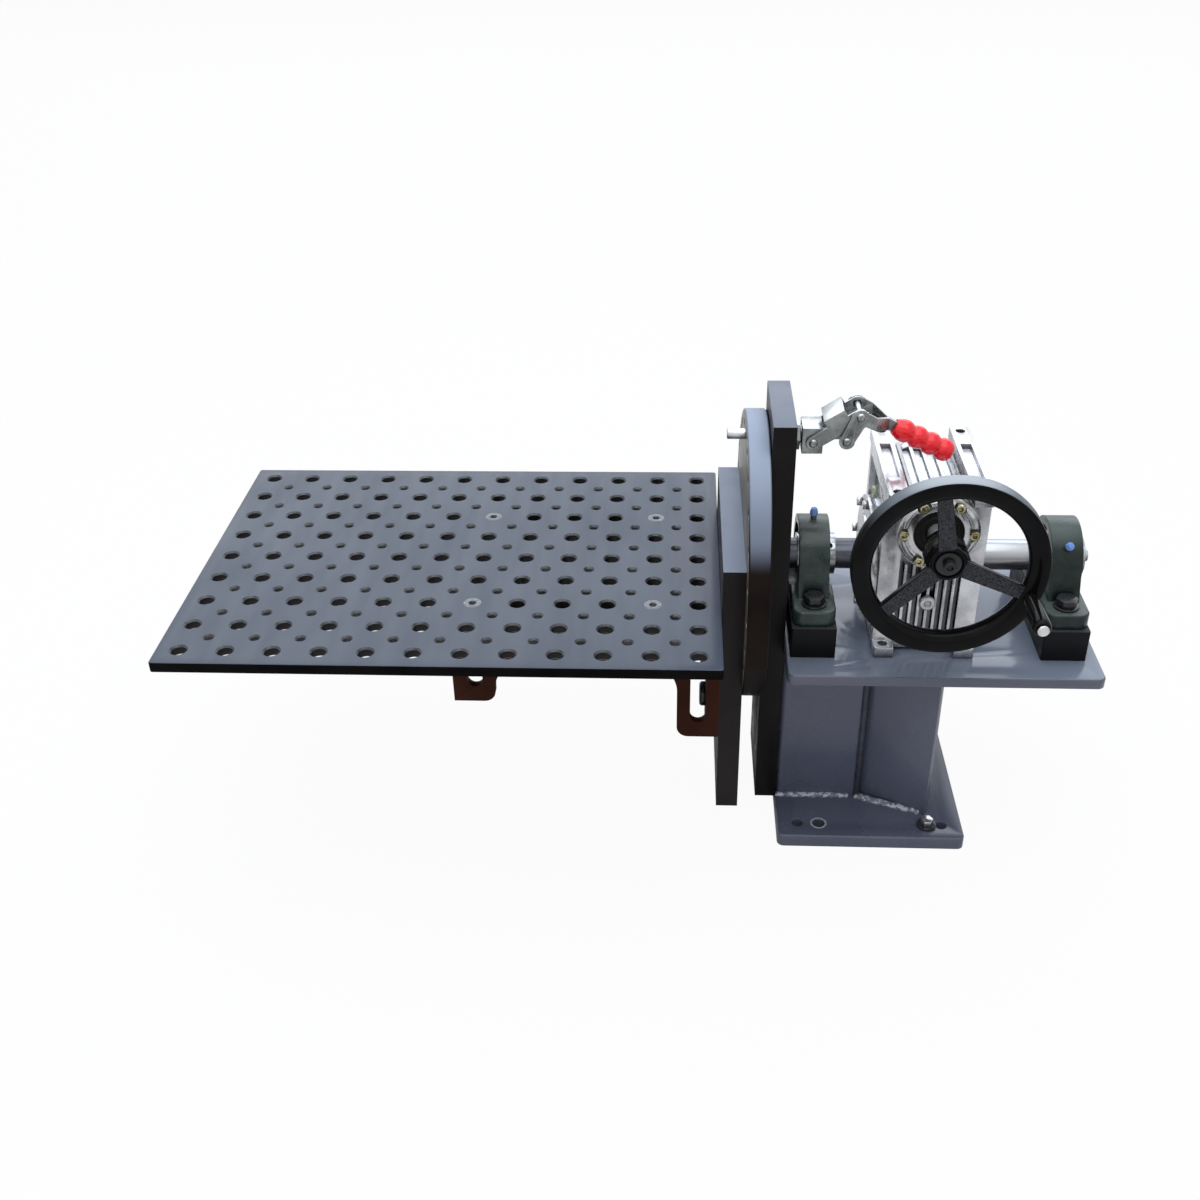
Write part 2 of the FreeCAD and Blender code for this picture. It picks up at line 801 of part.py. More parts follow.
def make_pillow_bolts():
    """The pillow blocks' four bolts, screwed into the deck, and their washers."""
    seat = "deck_top + riser_height + foot_thick"
    length = "pillow_washer_thick + foot_thick + riser_height + deck_thick - bolt_allowance"
    y = "-pillow_bolt_spacing / 2"
    bolts = hex_screws("pillow_bolts", "XY", "pillow_left", y, seat + " + pillow_washer_thick",
                       "pillow_bolt_across", "pillow_bolt_head", "pillow_bolt", length)
    washers = new_body("pillow_washers", "pillow_left", y, seat)
    bore = "pillow_bolt / 2 + running_clearance"
    revolve(washers, "Z", tube_outline("0", "pillow_washer_thick", bore, "pillow_washer_diameter / 2"))
    for body in (bolts, washers):
        rows = repeat_line(body, body.Tip, "X", "pillow_spacing", "2", "Y", "pillow_bolt_spacing", "2")
        rows.Originals = solids_of(body)
        doc.recompute()
    return [bolts, washers]


def solids_of(body):
    """The body's features that add or remove material, in order."""
    kinds = ("PartDesign::Pad", "PartDesign::Pocket", "PartDesign::Revolution", "PartDesign::Groove")
    return [item for item in body.Group if item.TypeId in kinds]


def make_grease_nipples():
    """A nipple on the top of one pillow block and on the front shoulder of the other."""
    stem = "set_screw_hole / 2"
    outline = [
        ("0", "0"),
        ("0", stem),
        ("5", stem),
        ("5", stem + " + 1"),
        ("9", stem + " + 1"),
        ("13", stem + " - 0.5"),
        ("13", "0"),
    ]
    reach = [("housing_radius + %s" % along, radius) for along, radius in outline]
    top = new_body("grease_nipple_left", "pillow_left", "0", "axis_height")
    revolve(top, "Z", reach)
    side = new_body("grease_nipple_right", "pillow_right", "0", "axis_height")
    side.Placement.Rotation = FreeCAD.Rotation(vector(1, 0, 0), value("nipple_turn"))
    revolve(side, "Z", reach)
    return [top, side]


def make_shaft():
    body = new_body("drive_shaft", "disc_left", "0", "axis_height")
    radius = "shaft_diameter / 2"
    end = "pillow_right + collar_length - collar_short_side + 1 - disc_left - stub_length / 2"
    stub = "%s + stub_length" % end
    revolve(body, "X", [
        ("0", "0"),
        ("0", radius),
        (end, radius),
        (end, "stub_diameter / 2"),
        (stub, "stub_diameter / 2"),
        (stub, "0"),
    ])
    break_edges(body, "x", "0", "edge_break")
    return body


# ---- Faceplate, mounting plate, table and brackets ----
def make_faceplate():
    """The round faceplate with its hub and a circle of index holes."""
    body = new_body("faceplate", "disc_left", "0", "axis_height")
    bore = "shaft_diameter / 2 + fit_clearance"
    hub = "disc_thick + disc_gap + side_plate_thick"
    revolve(body, "X", [
        ("0", bore),
        (hub, bore),
        (hub, "disc_hub_diameter / 2"),
        ("disc_thick", "disc_hub_diameter / 2"),
        ("disc_thick", "disc_diameter / 2 - edge_break"),
        ("disc_thick - edge_break", "disc_diameter / 2"),
        ("edge_break", "disc_diameter / 2"),
        ("0", "disc_diameter / 2 - edge_break"),
    ])
    hole = draw_circle(new_sketch(body, "YZ"), "0", "index_radius", "index_hole")
    hole = pocket(body, hole, "disc_thick", forwards=True)
    repeat_round(body, [hole], "X", "index_count")
    screws = new_sketch(body, "YZ")
    for y in ("-slab_screw_gauge / 2", "slab_screw_gauge / 2"):
        draw_circle(screws, y, "slab_screw_high", "flat_screw + 2 * running_clearance")
        draw_circle(screws, y, "slab_screw_high - slab_screw_rise", "flat_screw + 2 * running_clearance")
    pocket(body, screws, "flat_screw_bite", forwards=True)
    return body


def make_index_dowel():
    """The pin end that stands out of the faceplate's top index hole."""
    body = new_body("index_dowel", "disc_left", "0", "clamp_height")
    radius = "pin_diameter / 2"
    revolve(body, "X", [
        ("-pin_reach", "0"),
        ("-pin_reach", radius + " - 1"),
        ("1 - pin_reach", radius),
        ("pin_seat", radius),
        ("pin_seat", "0"),
    ])
    return body


def make_mounting_plate():
    """The plate that carries the brackets, screwed to the faceplate."""
    bottom = "axis_height + slab_above_axis - slab_height"
    body = new_body("mounting_plate", "slab_left", "0", bottom)
    sketch = new_sketch(body, "YZ")
    draw_rectangle(sketch, "-slab_width / 2", "0", "slab_width / 2", "slab_height")
    pad(body, sketch, "slab_thick")
    for y in ("-slab_screw_gauge / 2", "slab_screw_gauge / 2"):
        sink_hole(body, y, "axis_height + slab_screw_high - (%s)" % bottom, "slab_thick")
        sink_hole(body, y, "axis_height + slab_screw_high - slab_screw_rise - (%s)" % bottom, "slab_thick")
    tapped = new_sketch(body, "YZ")
    for y in ("-bracket_row", "bracket_row"):
        for z in ("0", "bracket_screw_pitch"):
            height = "table_under - bracket_screw_low + %s - (%s)" % (z, bottom)
            draw_circle(tapped, y, height, "bracket_screw + 2 * running_clearance")
    pocket(body, tapped, "bracket_screw_bite", forwards=True)
    return body


def make_table():
    """The welding table: plain holes on a square grid, tapped holes between them."""
    body = plate_across("welding_table", "slab_left - table_length / 2", "0", "table_under",
                        "table_length", "table_width", "table_thick", "table_corner")
    holes = new_sketch(body, "XY")
    draw_circle(holes, "end_margin - table_length / 2", "side_margin - table_width / 2", "grid_hole")
    plain = pocket(body, holes, "table_thick", forwards=True)
    repeat_line(body, plain, "X", "hole_pitch", "hole_columns", "Y", "hole_pitch", "hole_rows")
    holes = new_sketch(body, "XY")
    x = "end_margin + hole_pitch / 2 - table_length / 2"
    y = "side_margin + hole_pitch / 2 - table_width / 2"
    draw_circle(holes, x, y, "tapped_hole")
    tapped = pocket(body, holes, "table_thick", forwards=True)
    repeat_line(body, tapped, "X", "hole_pitch", "hole_columns - 1", "Y", "hole_pitch", "hole_rows - 1")
    # countersinks at the four screws of the brackets
    for x in ("near_screw", "far_screw"):
        for y in ("-bracket_row", "bracket_row"):
            sink = new_sketch(body, "XY", "table_thick")
            draw_circle(sink, "table_length / 2 - " + x, y, "grid_hole + 2 * hole_chamfer")
            cone = pocket(body, sink, "hole_chamfer")
            cone.TaperAngle = -45
            doc.recompute()
    return body


def make_bracket(label, side):
    """A slotted angle bracket: flanges under the table and on the mounting plate, and a web with a foot."""
    body = new_body(label, "slab_left", "%d * bracket_row - bracket_width / 2" % side, "table_under")
    back = "-bracket_width"
    profile = new_sketch(body, "XZ", back)
    draw_outline(profile, [
        ("0", "0"),
        ("-bracket_length", "0"),
        ("-bracket_length", "-bracket_foot"),
        ("leg_width - bracket_length", "-bracket_foot"),
        ("leg_width - bracket_length", "-leg_width"),
        ("-leg_width", "-leg_width"),
        ("-leg_width", "-bracket_depth"),
        ("0", "-bracket_depth"),
    ])
    pad(body, profile, "bracket_width")
    inner = value("-leg_width")
    depth = value("-bracket_depth")
    foot_x = value("leg_width - bracket_length")
    foot = value("-bracket_foot")

    def at(edge, x, z):
        point = edge.Vertexes[0].Point
        return abs(point.x - x) < NEARLY and abs(point.z - z) < NEARLY

    round_corners(body, "y", "bracket_throat",
                  lambda edge: at(edge, inner, inner) or at(edge, foot_x, inner))
    round_corners(body, "y", "bracket_corner",
                  lambda edge: at(edge, inner, depth) or at(edge, foot_x, foot))
    slots = new_sketch(body, "XZ", back)
    top = "-bracket_wall - bracket_slot / 2"
    low = "bracket_end + bracket_slot / 2"
    leg = "-bracket_wall - bracket_slot / 2"
    draw_slot(slots, leg, low + " - bracket_depth", leg, top, "bracket_slot")
    draw_slot(slots, "-far_screw", low + " - bracket_foot", "-far_screw", top, "bracket_slot")
    start = "bracket_end + bracket_slot"
    draw_slot(slots, "%s - far_screw" % start, top, "%s - %s" % (leg, start), top, "bracket_slot")
    pocket(body, slots, "bracket_width", forwards=True)
    # only the outer web carries the slots; the two flanges keep the full width
    behind = new_sketch(body, "XZ", back if side < 0 else "bracket_web - bracket_width")
    draw_rectangle(behind, "-bracket_length - 1", "-bracket_depth - 1", "-bracket_wall", "-bracket_wall")
    pocket(body, behind, "bracket_width - bracket_web", forwards=True)
    # holes for the table screws and for the screws into the mounting plate
    holes = new_sketch(body, "XY", "-bracket_wall")
    for x in ("-near_screw", "-far_screw"):
        draw_circle(holes, x, "bracket_width / 2", "grid_hole")
    pocket(body, holes, "bracket_wall", forwards=True)
    holes = new_sketch(body, "YZ", "-bracket_wall")
    for z in ("0", "bracket_screw_pitch"):
        height = "%s - bracket_screw_low" % z
        draw_circle(holes, "bracket_width / 2", height, "bracket_screw + 2 * free_clearance")
    pocket(body, holes, "bracket_wall", forwards=True)
    # spot faces for the nuts, the far one inside the rounded end of the foot's slot
    seats = new_sketch(body, "XY", "spot_depth - bracket_wall")
    for x in ("-near_screw", "-far_screw"):
        draw_circle(seats, x, "bracket_width / 2", "1.2 * table_nut_across")
    pocket(body, seats, "bracket_slot / 2")
    return body


def make_bracket_screws():
    """Low round-head screws, two through each bracket into the mounting plate."""
    low = "table_under - bracket_screw_low"
    body = new_body("bracket_screws", "slab_left - bracket_wall", "-bracket_row", low)
    end = "bracket_wall + bracket_screw_bite - bolt_allowance"
    screw = revolve(body, "X", [
        ("-bracket_screw_rise", "0"),
        ("-bracket_screw_rise", "bracket_screw_head / 2 - 2"),
        ("2 - bracket_screw_rise", "bracket_screw_head / 2"),
        ("0", "bracket_screw_head / 2"),
        ("0", "bracket_screw / 2"),
        (end, "bracket_screw / 2"),
        (end, "0"),
    ])
    socket = draw_hexagon(new_sketch(body, "YZ", "-bracket_screw_rise"), "0", "0", "bracket_screw_socket")
    socket = pocket(body, socket, "socket_depth", forwards=True)
    rows = repeat_line(body, screw, "Y", "2 * bracket_row", "2", "Z", "bracket_screw_pitch", "2")
    rows.Originals = [screw, socket]
    doc.recompute()
    return body


def make_table_screws():
    """Flush socket screws through the table's grid holes, with their nuts in the brackets' slots."""
    pitch = "far_screw - near_screw"
    screws = new_body("table_screws", "slab_left - far_screw", "-bracket_row", "table_top")
    shoulder = "grid_hole / 2 - running_clearance"
    step = "bolt_allowance + spot_depth - table_thick - bracket_wall"
    end = "-table_thick - bracket_wall - table_nut_height - 2"
    revolve(screws, "Z", [
        ("0", "0"),
        ("0", shoulder + " + hole_chamfer - running_clearance"),
        ("-hole_chamfer", shoulder),
        (step, shoulder),
        (step, "table_screw / 2"),
        (end, "table_screw / 2"),
        (end, "0"),
    ])
    pocket(screws, draw_hexagon(new_sketch(screws, "XY"), "0", "0", "table_screw_socket"), "socket_depth")
    seat = "table_under - bracket_wall + spot_depth"
    nuts = new_body("table_nuts", "slab_left - far_screw", "-bracket_row", seat)
    outline = draw_hexagon(new_sketch(nuts, "XY", "-table_nut_height"), "0", "0", "table_nut_across")
    pad(nuts, outline, "table_nut_height")
    bore = draw_circle(new_sketch(nuts, "XY"), "0", "0", "table_screw + 2 * fit_clearance")
    pocket(nuts, bore, "table_nut_height")
    for body in (screws, nuts):
        rows = repeat_line(body, body.Tip, "X", pitch, "2", "Y", "2 * bracket_row", "2")
        rows.Originals = solids_of(body)
        doc.recompute()
    return [screws, nuts]


# ---- Worm gearbox ----
def make_gearbox_housing():
    """The cast housing: body block, foot and top flanges, recessed sides, fins, ribs, bosses and cavities."""
    body = new_body("gearbox_housing", "gearbox_middle", "0", "deck_top")
    half = "gearbox_width / 2"
    ends = "gearbox_body_length / 2"
    channel = "gearbox_width / 2 - rail_width"
    inner_end = "gearbox_body_length / 2 - casting_recess"
    worm = "gearbox_rise + centre_distance"
    block = new_sketch(body, "XY")
    pad(body, draw_rectangle(block, "-" + half, "-" + ends, half, ends), "gearbox_height")
    for level in ("0", "gearbox_height - flange_thick"):
        flange = new_sketch(body, "XY", level)
        draw_rectangle(flange, "-" + half, "-gearbox_length / 2", half, "gearbox_length / 2")
        pad(body, flange, "flange_thick")
    tip = value("gearbox_length / 2")
    round_corners(body, "z", "gearbox_corner",
                  lambda edge: abs(abs(edge.Vertexes[0].Point.y) - tip) < NEARLY)
    # notches that leave a foot at each corner
    notch = new_sketch(body, "XY")
    for side in (-1, 1):
        inside = "%d * gearbox_body_length / 2" % side
        outside = "%d * (gearbox_length / 2 + 1)" % side
        draw_rectangle(notch, "-(%s)" % channel, inside, channel, outside)
    pocket(body, notch, "gearbox_height", forwards=True)
    underside = new_sketch(body, "XY")
    draw_rectangle(underside, "-(%s)" % channel, "-(%s)" % ends, channel, ends)
    pocket(body, underside, "underside_recess", forwards=True)
    # recessed sides, front and rear
    side = new_sketch(body, "YZ", half)
    draw_rectangle(side, "side_margin_y - " + ends, "flange_thick + side_margin_z",
                   ends + " - side_margin_y", "gearbox_height - flange_thick - side_margin_z")
    mirror(body, pocket(body, side, "side_recess"), "YZ")
    front = new_sketch(body, "XZ", ends)
    draw_rectangle(front, "-(%s)" % channel, "flange_thick", channel, "gearbox_height - flange_thick")
    mirror(body, pocket(body, front, "casting_recess"), "XZ")
    # cooling fins, front and rear
    for offset in (inner_end, "-(%s)" % ends):
        fins = new_sketch(body, "XZ", offset)
        draw_rectangle(fins, "-3 * fin_pitch - fin_thick / 2", "flange_thick - 1",
                       "fin_thick / 2 - 3 * fin_pitch", "flange_thick + fin_height")
        repeat_line(body, pad(body, fins, "casting_recess"), "X", "fin_pitch", "7")
    # recessed top with ribs
    top = new_sketch(body, "XY", "gearbox_height")
    draw_rectangle(top, "-(%s)" % channel, "-(%s)" % ends, channel, ends)
    pocket(body, top, "top_recess")
    ribs = new_sketch(body, "XY", "gearbox_height - top_recess - 1")
    draw_rectangle(ribs, "-2 * rib_pitch - rib_thick / 2", "-(%s)" % ends,
                   "rib_thick / 2 - 2 * rib_pitch", ends)
    repeat_line(body, pad(body, ribs, "rib_height + 1"), "X", "rib_pitch", "5")
    # long slots and holes in the top strips and feet
    strips = new_sketch(body, "XY", "gearbox_height")
    for side in (-1, 1):
        middle = "%d * (gearbox_width / 2 - rail_width / 2)" % side
        draw_rectangle(strips, middle + " - rail_slot_width / 2", "-rail_slot_length / 2",
                       middle + " + rail_slot_width / 2", "rail_slot_length / 2")
    pocket(body, strips, "rail_slot_depth")
    feet = new_sketch(body, "XY")
    for x in ("-foot_hole_gauge / 2", "foot_hole_gauge / 2"):
        for y in ("-foot_hole_span / 2", "foot_hole_span / 2"):
            draw_circle(feet, x, y, "foot_hole")
    pocket(body, feet, "gearbox_height", forwards=True)
    # bosses for the wheel's bearings and for the worm
    left = new_sketch(body, "YZ", "-" + half)
    pad(body, draw_circle(left, "0", "gearbox_rise", "cover_diameter"), "side_recess + 1")
    right = new_sketch(body, "YZ", "gearbox_width / 2 - side_recess - 1")
    pad(body, draw_circle(right, "0", "gearbox_rise", "right_boss"), "side_recess + 1")
    nose = new_sketch(body, "XZ", "gearbox_body_length / 2 - casting_recess - 1")
    pad(body, draw_circle(nose, "0", worm, "input_cover_diameter"), "casting_recess + 1 + input_boss_rise")
    tail = new_sketch(body, "XZ", "-gearbox_body_length / 2 - rear_boss_rise")
    pad(body, draw_circle(tail, "0", worm, "rear_boss"), "casting_recess + 1 + rear_boss_rise")
    # cavities for the wheel and the worm, and their bearing bores
    cavity = new_sketch(body, "YZ", "-(%s) - 1" % half)
    draw_circle(cavity, "0", "gearbox_rise", "wheel_cavity")
    pocket(body, cavity, "gearbox_width + 1 - side_recess - bearing_width - bolt_allowance", forwards=True)
    bore = new_sketch(body, "YZ", "0")
    draw_circle(bore, "0", "gearbox_rise", "wheel_bearing_diameter")
    pocket(body, bore, "gearbox_width", forwards=True)
    tunnel = new_sketch(body, "XZ", "-worm_bearing_inset")
    draw_circle(tunnel, "0", worm, "worm_bearing_diameter - thread_depth / 2")
    pocket(body, tunnel, "2 * worm_bearing_inset", forwards=True)
    for offset in ("worm_bearing_inset", "-gearbox_length"):
        bore = new_sketch(body, "XZ", offset)
        draw_circle(bore, "0", worm, "worm_bearing_diameter")
        pocket(body, bore, "gearbox_length - worm_bearing_inset", forwards=True)
    return body


def make_side_cover():
    """The bolted cover that closes the wheel's cavity and carries one of its bearings."""
    cover = new_body("gearbox_side_cover", "gearbox_middle", "0", "axis_height")
    face = "-gearbox_width / 2"
    spigot = "wheel_cavity / 2 - fit_clearance"
    seat = "wheel_bearing_diameter / 2"
    throat = "quill_diameter / 2 + 1"
    outside = "%s - cover_thick" % face
    revolve(cover, "X", [
        (face + " + bearing_width", seat),
        (face + " + bearing_width", spigot),
        (face, spigot),
        (face, "cover_diameter / 2"),
        (outside, "cover_diameter / 2"),
        (outside, "cover_boss / 2"),
        (outside + " - cover_boss_rise", "cover_boss / 2"),
        (outside + " - cover_boss_rise", throat),
        (face, throat),
        (face, seat),
    ])
    screws = new_body("side_cover_screws", "gearbox_middle", "0", "axis_height")
    head = new_sketch(screws, "YZ", outside + " - cover_screw_rise")
    head = draw_circle(head, "0", "cover_screw_circle / 2", "cover_screw_head")
    head = pad(screws, head, "cover_screw_rise")
    repeat_round(screws, [head], "X", "8")
    return [cover, screws]


def make_gearbox_bearings():
    """Single-ring stand-ins for the wheel's and the worm's ball bearings."""
    wheel = new_body("wheel_bearings", "gearbox_middle - gearbox_width / 2", "0", "axis_height")
    inner = "quill_diameter / 2 + running_clearance"
    outer = "wheel_bearing_diameter / 2 - fit_clearance"
    ring = revolve(wheel, "X", tube_outline("0", "bearing_width", inner, outer))
    repeat_line(wheel, ring, "X", "gearbox_width - side_recess - bearing_width", "2")
    start = "-worm_bearing_inset - worm_bearing_width"
    worm = new_body("worm_bearings", "gearbox_middle", start, "worm_height")
    inner = "worm_shaft_diameter / 2 + running_clearance"
    outer = "worm_bearing_diameter / 2 - fit_clearance"
    ring = revolve(worm, "Y", tube_outline("0", "worm_bearing_width", inner, outer))
    repeat_line(worm, ring, "Y", "2 * worm_bearing_inset + worm_bearing_width", "2")
    return [wheel, worm]


def make_worm_wheel():
    """The bronze worm wheel on its hollow quill, which the drive shaft passes through."""
    body = new_body("worm_wheel", "gearbox_middle", "0", "axis_height")
    bore = "shaft_diameter / 2 + fit_clearance"
    quill = "quill_diameter / 2"
    rim = "wheel_tip_diameter / 2"
    web = "wheel_web / 2"
    revolve(body, "X", [
        ("-quill_length / 2", bore),
        ("quill_length / 2", bore),
        ("quill_length / 2", quill),
        (web, quill),
        (web, rim + " - wheel_rim"),
        ("wheel_face / 2", rim + " - wheel_rim"),
        ("wheel_face / 2", rim),
        ("-wheel_face / 2", rim),
        ("-wheel_face / 2", rim + " - wheel_rim"),
        ("-" + web, rim + " - wheel_rim"),
        ("-" + web, quill),
        ("-quill_length / 2", quill),
    ])
    gap = new_sketch(body, "YZ", "-wheel_face / 2")
    mouth = "tooth_gap_tip / 2"
    draw_outline(gap, [
        ("-tooth_gap_root / 2", rim + " - tooth_depth"),
        ("tooth_gap_root / 2", rim + " - tooth_depth"),
        (mouth, rim + " + 1"),
        ("-" + mouth, rim + " + 1"),
    ])
    tooth_gap = pocket(body, gap, "wheel_face", forwards=True)
    repeat_round(body, [tooth_gap], "X", "wheel_teeth")
    return body


def make_worm_shaft():
    """The worm with its thread form, journals and the long end that carries the handwheel."""
    body = new_body("worm_shaft", "gearbox_middle", "0", "worm_height")
    journal = "worm_shaft_diameter / 2"
    nose = "-hub_front + 2"
    seat = "wheel_hub_length - hub_front + 1"
    revolve(body, "Y", [
        (nose, "0"),
        (nose, "handwheel_bore / 2"),
        (seat, "handwheel_bore / 2"),
        (seat, journal),
        ("-worm_length / 2", journal),
        ("-worm_length / 2", "worm_diameter / 2"),
        ("worm_length / 2", "worm_diameter / 2"),
        ("worm_length / 2", journal),
        ("worm_bearing_inset + worm_bearing_width + 1", journal),
        ("worm_bearing_inset + worm_bearing_width + 1", "0"),
    ])
    start = "-2 * worm_pitch"
    radius = "worm_diameter / 2"
    groove = revolve(body, "Y", [
        (start + " - thread_root / 2", radius + " - thread_depth"),
        (start + " + thread_root / 2", radius + " - thread_depth"),
        (start + " + thread_mouth / 2", radius + " + 1"),
        (start + " - thread_mouth / 2", radius + " + 1"),
    ], cut=True)
    repeat_line(body, groove, "Y", "worm_pitch", "5")
    return body


def make_input_cover():
    """The input-side cover with its raised ribs, six screws and the shaft seal."""
    face = "-gearbox_body_length / 2 - input_boss_rise"
    outside = "%s - input_cover_thick" % face
    front = "gearbox_body_length / 2 + input_boss_rise + input_cover_thick"
    cover = new_body("input_cover", "gearbox_middle", "0", "worm_height")
    spigot = "worm_bearing_diameter / 2 - fit_clearance"
    inner_end = "-worm_bearing_inset - worm_bearing_width"
    middle = "input_screw_circle / 2"
    revolve(cover, "Y", [
        (inner_end, "input_ledge / 2 + worm_shaft_diameter / 2"),
        (inner_end, spigot),
        (face, spigot),
        (face, "input_cover_diameter / 2"),
        (outside, "input_cover_diameter / 2"),
        (outside, middle + " + input_bead_width / 2"),
        (outside + " - 0.6 * input_bead_rise", middle + " + 0.3 * input_bead_width"),
        (outside + " - input_bead_rise", middle),
        (outside + " - 0.6 * input_bead_rise", middle + " - 0.3 * input_bead_width"),
        (outside, middle + " - input_bead_width / 2"),
        (outside, "input_bore / 2"),
        (face + " - 2", "input_bore / 2"),
        (face + " - 2", "input_ledge / 2 + worm_shaft_diameter / 2"),
    ])
    gap = new_sketch(cover, "XZ", front)
    gap = pocket(cover, draw_circle(gap, middle, "0", "input_screw_pocket"), "input_bead_rise", forwards=True)
    repeat_round(cover, [gap], "Y", "6")
    screws = new_body("input_cover_screws", "gearbox_middle", "0", "worm_height")
    head = new_sketch(screws, "XZ", front)
    head = pad(screws, draw_circle(head, middle, "0", "cover_screw_head"), "cover_screw_rise")
    socket = new_sketch(screws, "XZ", front + " + cover_screw_rise")
    socket = pocket(screws, draw_hexagon(socket, middle, "0", "cover_screw_head / 2"), "cover_screw_rise / 2")
    repeat_round(screws, [head, socket], "Y", "6")
    seal = new_body("input_seal", "gearbox_middle", "0", "worm_height")
    inner = "worm_shaft_diameter / 2 + free_clearance"
    outer = "input_bore / 2 - fit_clearance"
    revolve(seal, "Y", [
        (face + " - 2", inner),
        (outside + " + 1", inner),
        (outside + " + 1", "input_bore / 2 - seal_lip"),
        (outside + " + 3", "input_bore / 2 - seal_lip + 2"),
        (outside + " + 3", outer),
        (face + " - 2", outer),
    ])
    return [cover, screws, seal]


def make_gearbox_trim():
    """Rear bearing cap, level plug and the four bolts that hold the gearbox from below the deck."""
    cap = new_body("worm_rear_cap", "gearbox_middle", "0", "worm_height")
    start = "worm_bearing_inset + worm_bearing_width + rear_cap_inset"
    end = start + " + rear_cap_thick"
    revolve(cap, "Y", [
        (start, "0"),
        (start, "worm_bearing_diameter / 2 - fit_clearance"),
        (end, "worm_bearing_diameter / 2 - fit_clearance"),
        (end, "worm_bearing_diameter / 2 - 5"),
        (end + " - 3", "worm_bearing_diameter / 2 - 7"),
        (end + " - 3", "0"),
    ])
    plug = new_body("level_plug", "gearbox_middle", "-gearbox_body_length / 2", "deck_top + plug_height")
    revolve(plug, "Y", [
        ("0", "0"),
        ("0", "plug_diameter / 2"),
        ("1 - plug_rise", "plug_diameter / 2"),
        ("-plug_rise", "plug_diameter / 2 - 1"),
        ("-plug_rise", "plug_socket / 2"),
        ("2 - plug_rise", "plug_socket / 2 - 1"),
        ("2 - plug_rise", "0"),
    ])
    x = "gearbox_middle - foot_hole_gauge / 2"
    bolts = new_body("gearbox_bolts", x, "-foot_hole_span / 2", "column_top")
    head = draw_hexagon(new_sketch(bolts, "XY", "-foot_bolt_head"), "0", "0", "foot_bolt_across")
    pad(bolts, head, "foot_bolt_head")
    shank = draw_circle(new_sketch(bolts, "XY"), "0", "0", "foot_hole - 2 * running_clearance")
    shank = pad(bolts, shank, "deck_thick + flange_thick - bolt_allowance")
    rows = repeat_line(bolts, shank, "X", "foot_hole_gauge", "2", "Y", "foot_hole_span", "2")
    rows.Originals = solids_of(bolts)
    doc.recompute()
    return [cap, plug, bolts]


# ---- Handwheel ----
def make_handwheel():
    """A dished three-spoke handwheel: rounded rim, flat tapered spokes and a stepped hub."""
    body = new_body("handwheel", "gearbox_middle", "0", "worm_height")
    hub = "wheel_hub_diameter / 2"
    back = "wheel_hub_length - hub_front"
    revolve(body, "Y", [
        ("-hub_front", "handwheel_bore / 2 + fit_clearance"),
        (back, "handwheel_bore / 2 + fit_clearance"),
        (back, hub + " - 3"),
        (back + " - 12", hub),
        ("4 - hub_front", hub),
        ("-hub_front", hub + " - 4"),
    ])
    rim = "wheel_diameter / 2 - rim_section / 2"
    edge = "rim_section / 2"
    bevel = "rim_section * 0.2929 / 2"
    revolve(body, "Y", [
        ("-rim_plane - %s" % edge, "%s - %s + %s" % (rim, edge, bevel)),
        ("-rim_plane - %s" % edge, "%s + %s - %s" % (rim, edge, bevel)),
        ("-rim_plane - %s + %s" % (edge, bevel), "%s + %s" % (rim, edge)),
        ("-rim_plane + %s - %s" % (edge, bevel), "%s + %s" % (rim, edge)),
        ("-rim_plane + %s" % edge, "%s + %s - %s" % (rim, edge, bevel)),
        ("-rim_plane + %s" % edge, "%s - %s + %s" % (rim, edge, bevel)),
        ("-rim_plane + %s - %s" % (edge, bevel), "%s - %s" % (rim, edge)),
        ("-rim_plane - %s + %s" % (edge, bevel), "%s - %s" % (rim, edge)),
    ])
    # a spoke along +X, leaning forward from the hub to the rim
    lean = new_sketch(body, "XY", "-spoke_width / 2")
    start = "wheel_hub_diameter / 2 - 3"
    end = "%s - %s + 2" % (rim, edge)
    draw_outline(lean, [
        (start, "8 - hub_front"),
        (end, "spoke_depth / 2 - rim_plane"),
        (end, "-rim_plane - spoke_depth / 2"),
        (start, "8 - hub_front - spoke_depth"),
    ])
    spoke = pad(body, lean, "spoke_width")
    repeat_round(body, [spoke], "Y", "3")
    body.Placement.Rotation = FreeCAD.Rotation(vector(0, 1, 0), value("spoke_turn"))
    return body


def make_handwheel_screw():
    """The socket screw and washer in the end of the worm shaft that hold the handwheel."""
    screw_radius = "wheel_screw / 2"
    washer = new_body("handwheel_washer", "gearbox_middle", "-hub_front", "worm_height")
    bore = screw_radius + " + running_clearance"
    revolve(washer, "Y", tube_outline("-wheel_washer_thick", "0", bore, "wheel_washer_diameter / 2"))
    screw = new_body("handwheel_screw", "gearbox_middle", "-hub_front - wheel_washer_thick", "worm_height")
    revolve(screw, "Y", [
        ("-wheel_screw", "0"),
        ("-wheel_screw", "wheel_screw_head / 2"),
        ("0", "wheel_screw_head / 2"),
        ("0", screw_radius),
        ("wheel_washer_thick + bolt_allowance", screw_radius),
        ("wheel_washer_thick + bolt_allowance", "0"),
    ])
    socket = draw_hexagon(new_sketch(screw, "XZ", "wheel_screw"), "0", "0", "wheel_screw_head / 2")
    pocket(screw, socket, "wheel_screw / 2")
    return [washer, screw]


